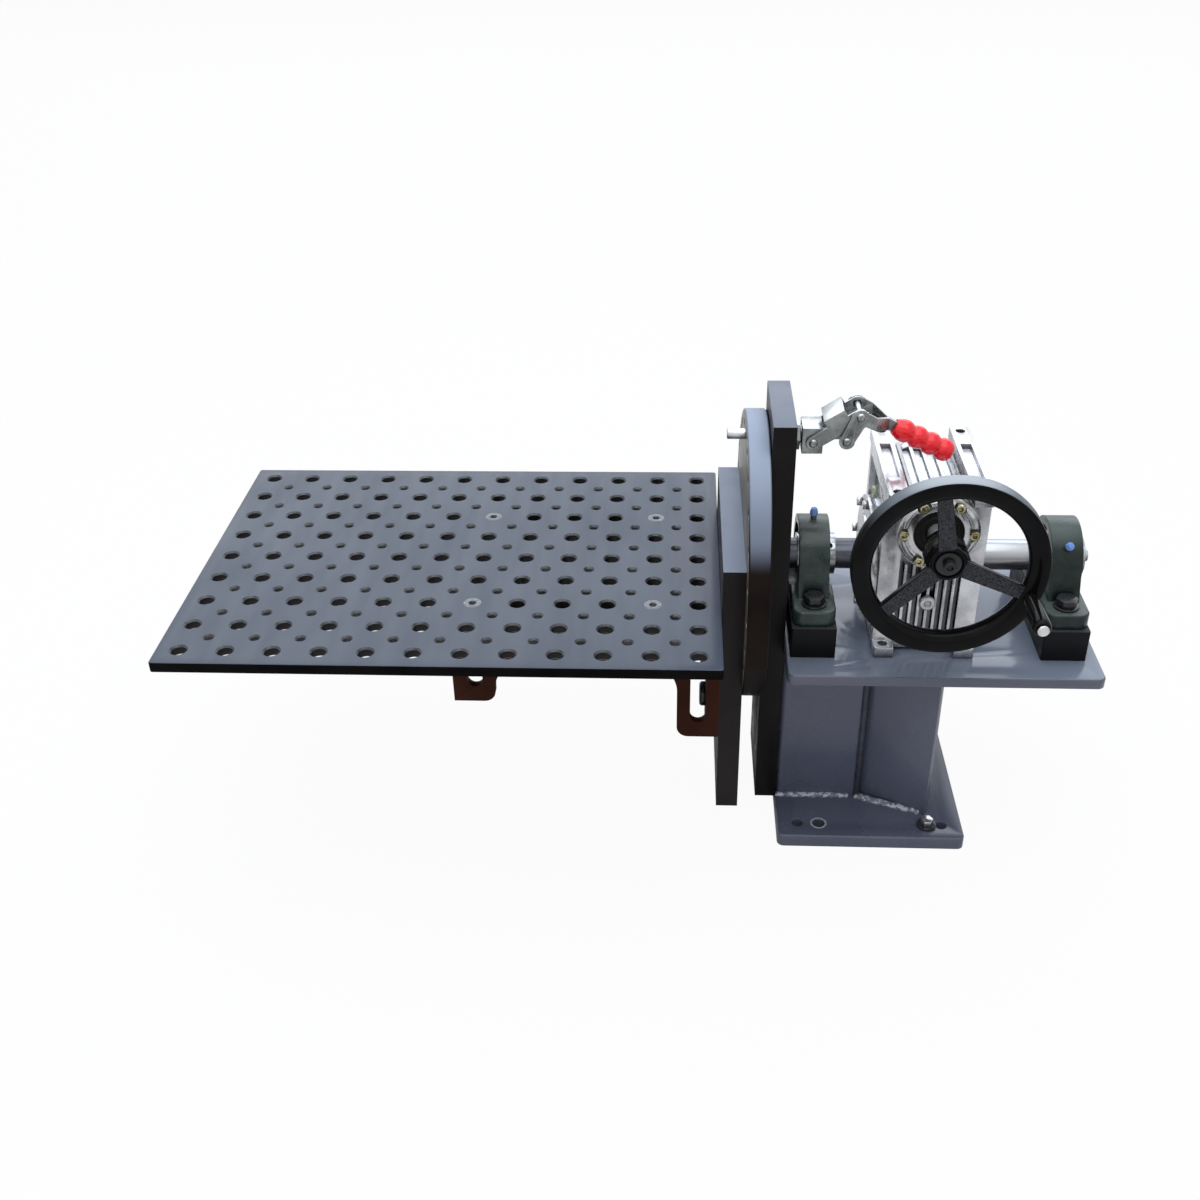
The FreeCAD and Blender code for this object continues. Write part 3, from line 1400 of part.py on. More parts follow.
def make_handle():
    """The revolving handle and the bright shoulder screw that it turns on."""
    x = "gearbox_middle + handle_circle * cos(spoke_turn)"
    z = "worm_height - handle_circle * sin(spoke_turn)"
    front = "-rim_plane - rim_section / 2"
    spindle = new_body("handle_spindle", x, front, z)
    radius = "spindle_diameter / 2"
    collar = "spindle_collar / 2"
    tip = "-handle_length - bolt_allowance"
    revolve(spindle, "Y", [
        ("0", "0"),
        ("0", collar),
        ("-bolt_allowance", collar),
        ("-bolt_allowance", radius),
        (tip, radius),
        (tip, "spindle_end / 2"),
        (tip + " - 2", "spindle_end / 2"),
        (tip + " - 3", "spindle_end / 2 - 1.5"),
        (tip + " - 3", "0"),
    ])
    grip = new_body("revolving_handle", x, front, z)
    bore = radius + " + running_clearance"
    root = "-bolt_allowance - free_clearance"
    revolve(grip, "Y", [
        (root, bore),
        (root, "handle_root / 2"),
        ("-0.3 * handle_length", "handle_root / 2 + 1"),
        ("-0.75 * handle_length", "handle_end / 2"),
        ("-0.95 * handle_length", "handle_end / 2"),
        ("-handle_length", "handle_end / 2 - 1.5"),
        ("-handle_length", "handle_end / 2 - 3"),
        ("-handle_length + 2", bore),
    ])
    return [spindle, grip]


# ---- Push-pull clamp and index pin ----
def make_clamp_body():
    """The clamp's square block with the threaded neck that passes through the side plate."""
    block = new_body("clamp_block", "block_left", "0", "clamp_height")
    low = "-block_height / 2 - block_drop"
    sketch = new_sketch(block, "YZ")
    draw_rectangle(sketch, "-block_width / 2", low, "block_width / 2", low + " + block_height")
    pad(block, sketch, "block_length")
    neck = new_sketch(block, "YZ", "side_plate_left - block_left")
    pad(block, draw_circle(neck, "0", "0", "clamp_neck"), "block_left - side_plate_left")
    bore = new_sketch(block, "YZ", "side_plate_left - block_left")
    draw_circle(bore, "0", "0", "pin_diameter + 2 * running_clearance")
    pocket(block, bore, "block_right - side_plate_left", forwards=True)
    pivot = new_sketch(block, "XZ", "block_width / 2")
    draw_circle(pivot, "link_pivot - block_left", "-link_pivot_drop", "pivot_diameter + 2 * fit_clearance")
    mirror(block, pocket(block, pivot, "block_width / 2 - block_stud_root"), "XZ")
    nut = new_body("clamp_locknut", "column_left", "0", "clamp_height")
    pad(nut, draw_hexagon(new_sketch(nut, "YZ"), "0", "0", "locknut_across"), "locknut_thick")
    bore = draw_circle(new_sketch(nut, "YZ"), "0", "0", "clamp_neck + 2 * fit_clearance")
    pocket(nut, bore, "locknut_thick", forwards=True)
    return [block, nut]


def make_plunger():
    """The index pin: a round rod with a chamfered tip and an eye at its rear pivot."""
    body = new_body("clamp_plunger", "plunger_pivot", "0", "clamp_height")
    radius = "pin_diameter / 2"
    tip = "side_plate_left + free_clearance - plunger_pivot"
    revolve(body, "X", [
        (tip, "0"),
        (tip, radius + " - 1"),
        (tip + " + 1", radius),
        ("0", radius),
        ("0", "0"),
    ])
    eye = new_sketch(body, "XZ", "1 - pin_diameter / 2")
    pad(body, draw_circle(eye, "0", "0", "eye_diameter"), "pin_diameter - 2")
    hole = new_sketch(body, "XZ", "pin_diameter / 2")
    draw_circle(hole, "0", "0", "pivot_diameter + 2 * running_clearance")
    pocket(body, hole, "pin_diameter")
    return body


def make_link():
    """The folded link: two side plates joined by a raised bridge."""
    body = new_body("clamp_link", "link_pivot", "0", "clamp_height - link_pivot_drop")
    body.Placement.Rotation = FreeCAD.Rotation(vector(0, 1, 0), -value("link_slope"))
    side = new_sketch(body, "XZ", "-link_outside")
    draw_slot(side, "0", "0", "link_length", "0", "link_width")
    pad(body, side, "2 * link_outside")
    bridge = new_sketch(body, "XZ", "-link_outside")
    draw_rectangle(bridge, "bridge_start", "0", "bridge_start + bridge_length", "bridge_rise")
    pad(body, bridge, "2 * link_outside")
    inside = new_sketch(body, "YZ", "-link_width")
    draw_rectangle(inside, "-link_inside", "-link_width", "link_inside", "bridge_rise - sheet_thick")
    pocket(body, inside, "link_length + 2 * link_width", forwards=True)
    holes = new_sketch(body, "XZ", "link_outside")
    draw_circle(holes, "0", "0", "pivot_diameter + 2 * running_clearance")
    draw_circle(holes, "link_length", "0", "pivot_diameter + 2 * open_pivot_play")
    pocket(body, holes, "2 * link_outside")
    return body


def make_lever():
    """The boomerang lever: two cheeks from both pivots that close into a tang for the grip."""
    body = new_body("clamp_lever", "plunger_pivot", "0", "clamp_height")
    run = "handle_pivot_run"
    rise = "handle_pivot_rise"
    across = "lever_width / 2"
    # arm points along the slope, measured from the upper pivot
    neck_x = "(%s + lever_arm * cos(lever_slope))" % run
    neck_z = "(%s - lever_arm * sin(lever_slope))" % rise
    tang_x = "(%s + (lever_arm + tang_length) * cos(lever_slope))" % run
    tang_z = "(%s - (lever_arm + tang_length) * sin(lever_slope))" % rise
    off_x = "tang_width / 2 * sin(lever_slope)"
    off_z = "tang_width / 2 * cos(lever_slope)"
    for points in (
        [
            ("-" + across, "0"),
            (across, "0"),
            ("%s + %s" % (run, across), rise + " - 4"),
            ("%s - %s" % (run, across), rise + " + 3"),
        ],
        [
            (run, "%s - %s" % (rise, across)),
            ("%s - %s" % (neck_x, off_x), "%s - %s" % (neck_z, off_z)),
            ("%s - %s" % (tang_x, off_x), "%s - %s" % (tang_z, off_z)),
            ("%s + %s" % (tang_x, off_x), "%s + %s" % (tang_z, off_z)),
            ("%s + %s" % (neck_x, off_x), "%s + %s" % (neck_z, off_z)),
            (run, "%s + %s" % (rise, across)),
        ],
    ):
        pad(body, draw_outline(new_sketch(body, "XZ", "-lever_outside"), points), "2 * lever_outside")
    for x, z in (("0", "0"), (run, rise)):
        end = new_sketch(body, "XZ", "-lever_outside")
        pad(body, draw_circle(end, x, z, "lever_width"), "2 * lever_outside")
    # seen from above, the cheeks run straight and then close onto the tang
    plan = new_sketch(body, "XY", "-2 * lever_arm")
    bend = "(%s + 0.4 * lever_arm)" % run
    close_x = "%s - tang_width / 2" % neck_x
    draw_outline(plan, [
        ("-lever_width", "-lever_inside"),
        (bend, "-lever_inside"),
        (close_x + " - 2", "-0.6"),
        (close_x + " - 2", "0.6"),
        (bend, "lever_inside"),
        ("-lever_width", "lever_inside"),
    ])
    pocket(body, plan, "4 * lever_arm", forwards=True)
    for side in (-1, 1):
        outside = new_sketch(body, "XY", "-2 * lever_arm")
        draw_outline(outside, [
            (bend, "%d * lever_outside" % side),
            (close_x, "%d * sheet_thick" % side),
            (tang_x + " + 20", "%d * sheet_thick" % side),
            (tang_x + " + 20", "%d * (lever_outside + 2)" % side),
            (bend, "%d * (lever_outside + 2)" % side),
        ])
        pocket(body, outside, "4 * lever_arm", forwards=True)
    holes = new_sketch(body, "XZ", "lever_outside")
    for x, z in (("0", "0"), (run, rise)):
        draw_circle(holes, x, z, "pivot_diameter + 2 * running_clearance")
    pocket(body, holes, "2 * lever_outside")
    return body


def make_grip():
    """The moulded grip: four round bulges along the lever's arm."""
    x = "plunger_pivot + handle_pivot_run + lever_arm * cos(lever_slope)"
    z = "clamp_height + handle_pivot_rise - lever_arm * sin(lever_slope)"
    body = new_body("clamp_grip", x, "0", z)
    body.Placement.Rotation = FreeCAD.Rotation(vector(0, 1, 0), value("lever_slope"))
    step = "(grip_length - grip_diameter) / (grip_bulges - 1)"
    outline = [("0", "0")]
    for number in range(SIZES["grip_bulges"]):
        for angle in (52, 71, 90, 109, 128):
            along = "%d * %s + grip_diameter / 2 * (1 - cos(%d))" % (number, step, angle)
            outline.append((along, "grip_diameter / 2 * sin(%d)" % angle))
    outline[1] = ("0", "grip_diameter / 3")
    outline.append(("grip_length", "0"))
    revolve(body, "X", outline)
    hollow = new_sketch(body, "YZ", "-1")
    clear = "sheet_thick + running_clearance"
    height = "tang_width / 2 + running_clearance"
    draw_rectangle(hollow, "-(%s)" % clear, "-(%s)" % height, clear, height)
    pocket(body, hollow, "tang_length + 2", forwards=True)
    return body


def make_rivet(label, x, z, half_length):
    """A riveted pivot pin with a head outside each cheek."""
    body = new_body(label, x, "0", z)
    inner = "%s + running_clearance" % half_length
    outer = "%s + rivet_rise" % inner
    pin = "pivot_diameter / 2"
    revolve(body, "Y", [
        ("-(%s)" % outer, "0"),
        ("-(%s)" % outer, pin),
        ("-(%s)" % inner, "rivet_head / 2"),
        ("-(%s)" % inner, pin),
        (inner, pin),
        (inner, "rivet_head / 2"),
        (outer, pin),
        (outer, "0"),
    ])
    return body


def make_block_rivets():
    """The two short riveted studs that the link turns on, one each side of the block."""
    body = new_body("clamp_block_rivets", "link_pivot", "0", "clamp_height - link_pivot_drop")
    inner = "link_outside + running_clearance"
    outer = "%s + rivet_rise" % inner
    pin = "pivot_diameter / 2"
    stud = revolve(body, "Y", [
        ("block_stud_root", "0"),
        (outer, "0"),
        (outer, pin),
        (inner, "rivet_head / 2"),
        (inner, pin),
        ("block_stud_root", pin),
    ])
    mirror(body, stud, "XZ")
    return body


# ---- The whole positioner ----
subparts = [make_base_plate()]
subparts += make_anchor_bolt()
subparts += [make_column_tube(), make_gusset("gusset_front", -1), make_gusset("gusset_rear", 1)]
subparts += [make_deck(), make_side_plate()]
subparts.append(make_flat_screws("side_plate_screws", "side_plate_left", "-side_screw_gauge / 2",
                                 "base_thick + side_screw_low", "side_screw_gauge", "side_screw_rise",
                                 "side_plate_thick + column_wall"))
subparts += [make_riser("riser_left", "pillow_left"), make_riser("riser_right", "pillow_right")]
subparts += [make_pillow_housing("pillow_housing_left", "pillow_left")]
subparts += [make_pillow_housing("pillow_housing_right", "pillow_right")]
subparts += [make_pillow_rings()]
subparts += [make_bearing_collar("bearing_collar_left", "pillow_left")]
subparts += [make_bearing_collar("bearing_collar_right", "pillow_right")]
subparts += make_pillow_bolts()
subparts += make_grease_nipples()
subparts += [make_shaft(), make_faceplate(), make_index_dowel(), make_mounting_plate()]
subparts.append(make_flat_screws("mounting_plate_screws", "slab_left", "-slab_screw_gauge / 2",
                                 "axis_height + slab_screw_high - slab_screw_rise", "slab_screw_gauge",
                                 "slab_screw_rise", "slab_thick + flat_screw_bite"))
subparts += [make_table(), make_bracket("bracket_front", -1), make_bracket("bracket_rear", 1)]
subparts += [make_bracket_screws()]
subparts += make_table_screws()
subparts += [make_gearbox_housing()] + make_side_cover() + make_gearbox_bearings()
subparts += [make_worm_wheel(), make_worm_shaft()] + make_input_cover() + make_gearbox_trim()
subparts += [make_handwheel()] + make_handwheel_screw() + make_handle()
subparts += make_clamp_body() + [make_plunger(), make_link(), make_lever(), make_grip()]
subparts.append(make_block_rivets())
subparts.append(make_rivet("clamp_plunger_rivet", "plunger_pivot", "clamp_height", "lever_outside"))
subparts.append(make_rivet("clamp_link_rivet", "plunger_pivot + handle_pivot_run",
                           "clamp_height + handle_pivot_rise", "lever_outside"))

doc.recompute()
for item in doc.Objects:
    if "Invalid" in item.State or "Error" in item.State:
        raise ValueError(item.Label + " did not recompute")
for body in subparts:
    if body.Shape.isNull() or not body.Shape.isValid():
        raise ValueError(body.Label + " has no valid shape")
for body in subparts:
    body.Shape.exportStep("parts/%s.step" % body.Label)
print(len(subparts), "sub-parts,", sum(len(body.Shape.Solids) for body in subparts), "solids")
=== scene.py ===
import math
import bpy
from mathutils import Matrix, Vector


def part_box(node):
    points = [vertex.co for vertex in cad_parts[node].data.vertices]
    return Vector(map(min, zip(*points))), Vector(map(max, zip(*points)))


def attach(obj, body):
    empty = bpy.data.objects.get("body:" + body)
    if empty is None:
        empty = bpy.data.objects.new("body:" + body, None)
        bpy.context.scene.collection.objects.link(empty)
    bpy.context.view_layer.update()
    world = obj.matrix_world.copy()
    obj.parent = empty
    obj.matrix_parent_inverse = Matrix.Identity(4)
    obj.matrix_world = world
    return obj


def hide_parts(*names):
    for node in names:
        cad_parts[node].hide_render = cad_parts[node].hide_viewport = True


# Hand-turned welding positioner: hole-grid table on a faceplate, worm gearbox, push-pull index clamp
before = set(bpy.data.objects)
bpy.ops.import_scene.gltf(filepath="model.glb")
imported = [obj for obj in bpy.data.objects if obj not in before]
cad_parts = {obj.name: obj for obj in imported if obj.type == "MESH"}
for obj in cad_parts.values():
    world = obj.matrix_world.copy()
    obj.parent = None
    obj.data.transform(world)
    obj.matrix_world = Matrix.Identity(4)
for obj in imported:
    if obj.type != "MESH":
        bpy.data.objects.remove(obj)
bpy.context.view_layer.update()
scene = bpy.context.scene
print("frame loaded:", len(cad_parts), "nodes")


def dropSelection():
    if bpy.context.object and bpy.context.object.mode != "OBJECT":
        bpy.ops.object.mode_set(mode="OBJECT")
    bpy.ops.object.select_all(action="DESELECT")


def take(piece):
    dropSelection()
    piece.select_set(True)
    bpy.context.view_layer.objects.active = piece
    return piece


def named(name):
    # the primitive that was just added
    piece = bpy.context.object
    piece.name = name
    piece.data.name = name
    return piece


def applied(piece, kind, **settings):
    take(piece)
    modifier = piece.modifiers.new(kind.lower(), kind)
    for key, value in settings.items():
        setattr(modifier, key, value)
    bpy.ops.object.modifier_apply(modifier=modifier.name)
    return piece


def tidied(piece, smoothAngle=32):
    # merged, pointing outwards, and smooth except at its edges
    take(piece)
    bpy.ops.object.mode_set(mode="EDIT")
    bpy.ops.mesh.select_all(action="SELECT")
    bpy.ops.mesh.remove_doubles(threshold=0.00001)
    bpy.ops.mesh.normals_make_consistent(inside=False)
    bpy.ops.object.mode_set(mode="OBJECT")
    bpy.ops.object.shade_smooth_by_angle(angle=math.radians(smoothAngle))
    return piece


def placed(piece):
    # puts the place into the mesh, so the object itself sits at the origin
    take(piece)
    bpy.ops.object.transform_apply(location=True, rotation=True, scale=True)
    return piece


def settle(piece, body, slot, finish, *standsFor):
    placed(piece)
    if finish is not None:
        piece.data.materials.clear()
        piece.data.materials.append(finish)
    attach(piece, body)
    if standsFor:
        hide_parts(*standsFor)
    return piece


def joined(pieces, name):
    take(pieces[0])
    for other in pieces[1:]:
        other.select_set(True)
    if len(pieces) > 1:
        bpy.ops.object.join()
    return named(name)


def again(piece, name):
    # another copy with its own mesh
    take(piece)
    bpy.ops.object.duplicate(linked=False)
    return named(name)


def turned(name, outline, centre, axis="Z", steps=48):
    # spins an outline of (radius, distance along the axis) about the axis through centre
    dropSelection()
    bpy.ops.mesh.primitive_plane_add(size=0.001, location=(0, 0, 0))
    piece = named(name)
    bpy.ops.object.mode_set(mode="EDIT")
    bpy.ops.mesh.select_mode(type="VERT")
    bpy.ops.mesh.select_all(action="SELECT")
    bpy.ops.mesh.merge(type="CENTER")
    radius, along = outline[0]
    bpy.ops.transform.translate(value=(radius, 0, along))
    for nextRadius, nextAlong in outline[1:]:
        step = (nextRadius - radius, 0, nextAlong - along)
        bpy.ops.mesh.extrude_region_move(TRANSFORM_OT_translate={"value": step})
        radius, along = nextRadius, nextAlong
    bpy.ops.mesh.select_all(action="SELECT")
    bpy.ops.mesh.spin(steps=steps, angle=math.tau, center=(0, 0, 0), axis=(0, 0, 1))
    bpy.ops.object.mode_set(mode="OBJECT")
    tidied(piece)
    turn = {"Z": (0, 0, 0), "Y": (math.radians(-90), 0, 0), "X": (0, math.radians(90), 0)}[axis]
    piece.rotation_euler = turn
    piece.location = centre
    return placed(piece)


def pickEdges(piece, test):
    # leaves the piece in edit mode with only the edges that pass a test selected
    take(piece)
    bpy.ops.object.mode_set(mode="EDIT")
    bpy.ops.mesh.select_mode(type="EDGE")
    bpy.ops.mesh.select_all(action="DESELECT")
    bpy.ops.object.mode_set(mode="OBJECT")
    points = piece.data.vertices
    for edge in piece.data.edges:
        edge.select = test(points[edge.vertices[0]].co, points[edge.vertices[1]].co)
    bpy.ops.object.mode_set(mode="EDIT")


def pickFaces(piece, test):
    # the same for faces, chosen by centre and normal
    take(piece)
    bpy.ops.object.mode_set(mode="EDIT")
    bpy.ops.mesh.select_mode(type="FACE")
    bpy.ops.mesh.select_all(action="DESELECT")
    bpy.ops.object.mode_set(mode="OBJECT")
    for face in piece.data.polygons:
        face.select = test(face.center, face.normal)
    bpy.ops.object.mode_set(mode="EDIT")


def faceSlot(piece, finish, test):
    # gives the faces that pass a test their own finish
    piece.data.materials.append(finish)
    index = len(piece.data.materials) - 1
    for face in piece.data.polygons:
        if test(face):
            face.material_index = index


def middleOf(node):
    low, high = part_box(node)
    return (low + high) / 2


def dressed(node, body, slot, finish, edge=0.0, segments=2, angle=35, name=None):
    # a clean copy of a CAD node with its edges eased, which then stands for it
    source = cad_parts[node]
    piece = source.copy()
    piece.data = source.data.copy()
    piece.parent = None
    piece.matrix_world = Matrix.Identity(4)
    for key in list(piece.keys()):
        del piece[key]
    scene.collection.objects.link(piece)
    piece.name = name or pieceName(node)
    take(piece)
    bpy.ops.object.mode_set(mode="EDIT")
    bpy.ops.mesh.select_all(action="SELECT")
    bpy.ops.mesh.remove_doubles(threshold=0.00001)
    bpy.ops.mesh.dissolve_limited(angle_limit=math.radians(0.5))
    bpy.ops.object.mode_set(mode="OBJECT")
    if piece.data.has_custom_normals:
        bpy.ops.mesh.customdata_custom_splitnormals_clear()
    if edge:
        applied(piece, "BEVEL", width=edge, segments=segments, limit_method="ANGLE",
                angle_limit=math.radians(angle), use_clamp_overlap=True)
    take(piece)
    bpy.ops.object.shade_smooth_by_angle(angle=math.radians(32))
    return settle(piece, body, slot, finish, node)


def pieceName(node):
    words = node.split("_")
    return words[0] + "".join(word.capitalize() for word in words[1:])


def surface(name, look):
    # one recipe for painted, brushed, cast and moulded skins, set by its look
    finish = bpy.data.materials.new(name)
    finish.use_nodes = True
    nodes = finish.node_tree.nodes
    link = finish.node_tree.links.new
    shader = nodes["Principled BSDF"]
    shader.inputs["Metallic"].default_value = look.get("metal", 0.0)
    shader.inputs["IOR"].default_value = look.get("ior", 1.5)
    shader.inputs["Specular IOR Level"].default_value = look.get("specular", 0.5)
    shader.inputs["Coat Weight"].default_value = look.get("coat", 0.0)
    shader.inputs["Coat Roughness"].default_value = look.get("coatRough", 0.1)
    place = nodes.new("ShaderNodeTexCoord")

    def noise(scale, detail=4.0, stretch=(1, 1, 1)):
        mapping = nodes.new("ShaderNodeMapping")
        mapping.inputs["Scale"].default_value = stretch
        link(place.outputs["Object"], mapping.inputs["Vector"])
        texture = nodes.new("ShaderNodeTexNoise")
        texture.inputs["Scale"].default_value = scale
        texture.inputs["Detail"].default_value = detail
        link(mapping.outputs["Vector"], texture.inputs["Vector"])
        return texture.outputs["Fac"]

    def ranged(value, low, high, fromLow=0.3, fromHigh=0.7):
        node = nodes.new("ShaderNodeMapRange")
        node.interpolation_type = "SMOOTHSTEP"
        node.inputs["From Min"].default_value = fromLow
        node.inputs["From Max"].default_value = fromHigh
        node.inputs["To Min"].default_value = low
        node.inputs["To Max"].default_value = high
        link(value, node.inputs["Value"])
        return node.outputs["Result"]

    def blended(factor, first, second):
        node = nodes.new("ShaderNodeMix")
        node.data_type = "RGBA"
        link(factor, node.inputs["Factor"])
        for socket, colour in (("A", first), ("B", second)):
            slotIn = [s for s in node.inputs if s.name == socket and s.type == "RGBA"][0]
            if isinstance(colour, tuple):
                slotIn.default_value = colour + (1,)
            else:
                link(colour, slotIn)
        return [s for s in node.outputs if s.type == "RGBA"][0]

    colour = blended(ranged(noise(look["patch"], 5.0), 0, 1), look["colour"], look["second"])
    if "flow" in look:      # long soft streaks, as brushing or rolling leaves
        streak, tint, amount = look["flow"]
        lines = ranged(noise(1.0, 6.0, streak), 0, amount)
        colour = blended(lines, colour, tint)
    if "specks" in look:
        scale, tint, share = look["specks"]
        spots = ranged(noise(scale, 2.0), 0, 1, 1 - share, 1 - share + 0.06)
        colour = blended(spots, colour, tint)
    rounding = nodes.new("ShaderNodeBevel")
    rounding.samples = 4
    rounding.inputs["Radius"].default_value = look.get("round", 0.0006)
    if "crevice" in look:   # painted shade: darker in corners and between fins, where occlusion falls
        reach, tint = look["crevice"]
        corner = nodes.new("ShaderNodeAmbientOcclusion")
        corner.samples = 8
        corner.inputs["Distance"].default_value = reach
        colour = blended(ranged(corner.outputs["AO"], 1, 0, 0.25, 0.9), colour, tint)
    if "lift" in look:      # painted sky sheen: faces turned up get paler tints, standing in for the sky's reflection
        facing = nodes.new("ShaderNodeNewGeometry")
        split = nodes.new("ShaderNodeSeparateXYZ")
        link(facing.outputs["Normal"], split.inputs["Vector"])
        for tint, low, high in look["lift"]:
            colour = blended(ranged(split.outputs["Z"], 0, 1, low, high), colour, tint)
    if "wear" in look:      # paler where edges have rubbed
        tint, amount = look["wear"]
        geometry = nodes.new("ShaderNodeNewGeometry")
        dot = nodes.new("ShaderNodeVectorMath")
        dot.operation = "DOT_PRODUCT"
        link(rounding.outputs["Normal"], dot.inputs[0])
        link(geometry.outputs["Normal"], dot.inputs[1])
        edge = ranged(dot.outputs["Value"], 1, 0, 0.80, 0.985)
        patchy = ranged(noise(look.get("wearPatch", 90.0), 3.0), 0.25, amount)
        both = nodes.new("ShaderNodeMath")
        both.operation = "MULTIPLY"
        link(edge, both.inputs[0])
        link(patchy, both.inputs[1])
        colour = blended(both.outputs["Value"], colour, tint)
    link(colour, shader.inputs["Base Color"])
    low, high = look["rough"]
    stretch = look.get("brush", (1, 1, 1))
    link(ranged(noise(look.get("roughPatch", 40.0), 6.0, stretch), low, high), shader.inputs["Roughness"])
    normal = rounding.outputs["Normal"]
    for scale, depth, direction in look.get("grain", []):
        bump = nodes.new("ShaderNodeBump")
        bump.inputs["Strength"].default_value = 1.0
        bump.inputs["Distance"].default_value = depth
        link(noise(scale, 3.0, direction), bump.inputs["Height"])
        link(normal, bump.inputs["Normal"])
        normal = bump.outputs["Normal"]
    if "hammer" in look:    # hammered enamel: small soft dimples
        scale, depth = look["hammer"]
        cells = nodes.new("ShaderNodeTexVoronoi")
        cells.feature = "SMOOTH_F1"
        cells.inputs["Scale"].default_value = scale
        link(place.outputs["Object"], cells.inputs["Vector"])
        bump = nodes.new("ShaderNodeBump")
        bump.inputs["Strength"].default_value = 1.0
        bump.inputs["Distance"].default_value = depth
        link(cells.outputs["Distance"], bump.inputs["Height"])
        link(normal, bump.inputs["Normal"])
        normal = bump.outputs["Normal"]
    if "rings" in look:     # fine turning lines, or a thread, along one axis
        axis, scale, depth = look["rings"]
        wave = nodes.new("ShaderNodeTexWave")
        wave.wave_type = "BANDS"
        wave.bands_direction = axis
        wave.inputs["Scale"].default_value = scale
        wave.inputs["Distortion"].default_value = look.get("ringWobble", 0.0)
        link(place.outputs["Object"], wave.inputs["Vector"])
        bump = nodes.new("ShaderNodeBump")
        bump.inputs["Strength"].default_value = 1.0
        bump.inputs["Distance"].default_value = depth
        link(wave.outputs["Fac"], bump.inputs["Height"])
        link(normal, bump.inputs["Normal"])
        normal = bump.outputs["Normal"]
    link(normal, shader.inputs["Normal"])
    return finish


# several finishes below paint light into their colour: paler tints on upward faces stand in for the sky's
# reflection, darker tints in corners stand in for shade
every = (1, 1, 1)
paintLook = {
    "colour": (0.086, 0.094, 0.140), "second": (0.102, 0.112, 0.164), "patch": 7.0,
    "rough": (0.22, 0.32), "roughPatch": 16.0, "round": 0.0012, "wear": ((0.30, 0.33, 0.40), 0.7),
    "grain": [(520.0, 0.00001, every), (45.0, 0.00005, every)]}
framePaint = surface("framePaint", paintLook)
deckPaint = surface("deckPaint", dict(
    paintLook, colour=(0.092, 0.100, 0.140), second=(0.108, 0.116, 0.160), rough=(0.12, 0.20),
    lift=[((0.205, 0.240, 0.320), 0.80, 0.98)]))
plateLook = {
    "colour": (0.0058, 0.0048, 0.0044), "second": (0.0110, 0.0092, 0.0088), "patch": 9.0, "specular": 0.12,
    "rough": (0.34, 0.48), "roughPatch": 30.0, "round": 0.0008, "wear": ((0.075, 0.078, 0.088), 0.6),
    "lift": [((0.205, 0.230, 0.290), 0.80, 0.98)], "grain": [(1.0, 0.00001, (500, 500, 40))]}
sidePlateSteel = surface("sidePlateSteel", plateLook)
mountingPlateSteel = surface("mountingPlateSteel", dict(
    plateLook, colour=(0.0110, 0.0086, 0.0090), second=(0.0190, 0.0155, 0.0165),
    lift=[((0.235, 0.275, 0.360), 0.80, 0.98)]))
tableSteel = surface("tableSteel", {
    "colour": (0.050, 0.064, 0.098), "second": (0.072, 0.088, 0.126), "patch": 4.0,
    "flow": ((22, 3, 22), (0.092, 0.110, 0.150), 0.4), "specular": 0.26, "rough": (0.28, 0.40),
    "roughPatch": 1.0, "brush": (60, 8, 60), "round": 0.0006, "grain": [(1.0, 0.000008, (700, 50, 700))]})
# painted shade: the table's side faces get a much darker copy of its steel, with almost no reflection
tableEdge = surface("tableEdge", {
    "colour": (0.0045, 0.0040, 0.0042), "second": (0.0080, 0.0072, 0.0078), "patch": 18.0,
    "specular": 0.01, "rough": (0.50, 0.62), "roughPatch": 40.0, "round": 0.0003})
holeChamfer = surface("holeChamfer", {
    "colour": (0.035, 0.037, 0.043), "second": (0.085, 0.092, 0.105), "patch": 120.0, "metal": 0.3,
    "rough": (0.26, 0.38), "roughPatch": 200.0, "round": 0.0003})
# painted shade: the hole bores are painted near-black, standing in for the shade inside them
shadedHoleWall = surface("shadedHoleWall", {
    "colour": (0.010, 0.009, 0.010), "second": (0.020, 0.019, 0.021), "patch": 90.0, "specular": 0.2,
    "rough": (0.36, 0.52), "roughPatch": 90.0})
threadSteel = surface("threadSteel", {
    "colour": (0.045, 0.048, 0.052), "second": (0.110, 0.116, 0.122), "patch": 90.0, "specular": 0.3,
    "rough": (0.34, 0.48), "rings": ("Z", 105.0, 0.0005), "round": 0.0003})
discSteel = surface("discSteel", {
    "colour": (0.0060, 0.0046, 0.0046), "second": (0.0170, 0.0115, 0.0095), "patch": 9.0,
    "specular": 0.03, "rough": (0.28, 0.42), "roughPatch": 1.0, "brush": (700, 12, 12), "round": 0.0006,
    "lift": [((0.200, 0.236, 0.315), 0.36, 0.58), ((0.370, 0.435, 0.560), 0.56, 0.98)],
    "grain": [(1.0, 0.00001, (900, 10, 10))]})
discFaceSteel = surface("discFaceSteel", {
    "colour": (0.110, 0.100, 0.080), "second": (0.190, 0.172, 0.140), "patch": 14.0, "metal": 0.4,
    "rough": (0.34, 0.50), "roughPatch": 30.0, "round": 0.0006})
bracketBrown = surface("bracketBrown", {
    "colour": (0.032, 0.0098, 0.0060), "second": (0.056, 0.0180, 0.0100), "patch": 12.0, "specular": 0.04,
    "rough": (0.42, 0.58), "roughPatch": 60.0, "round": 0.001, "wear": ((0.10, 0.055, 0.04), 0.5),
    "grain": [(380.0, 0.00003, every)]})
blackSteel = surface("blackSteel", {
    "colour": (0.0060, 0.0060, 0.0068), "second": (0.0130, 0.0130, 0.0145), "patch": 40.0,
    "specular": 0.4, "rough": (0.20, 0.34), "roughPatch": 80.0, "round": 0.0005,
    "wear": ((0.14, 0.15, 0.17), 0.7), "lift": [((0.026, 0.029, 0.034), 0.7, 1.0)]})
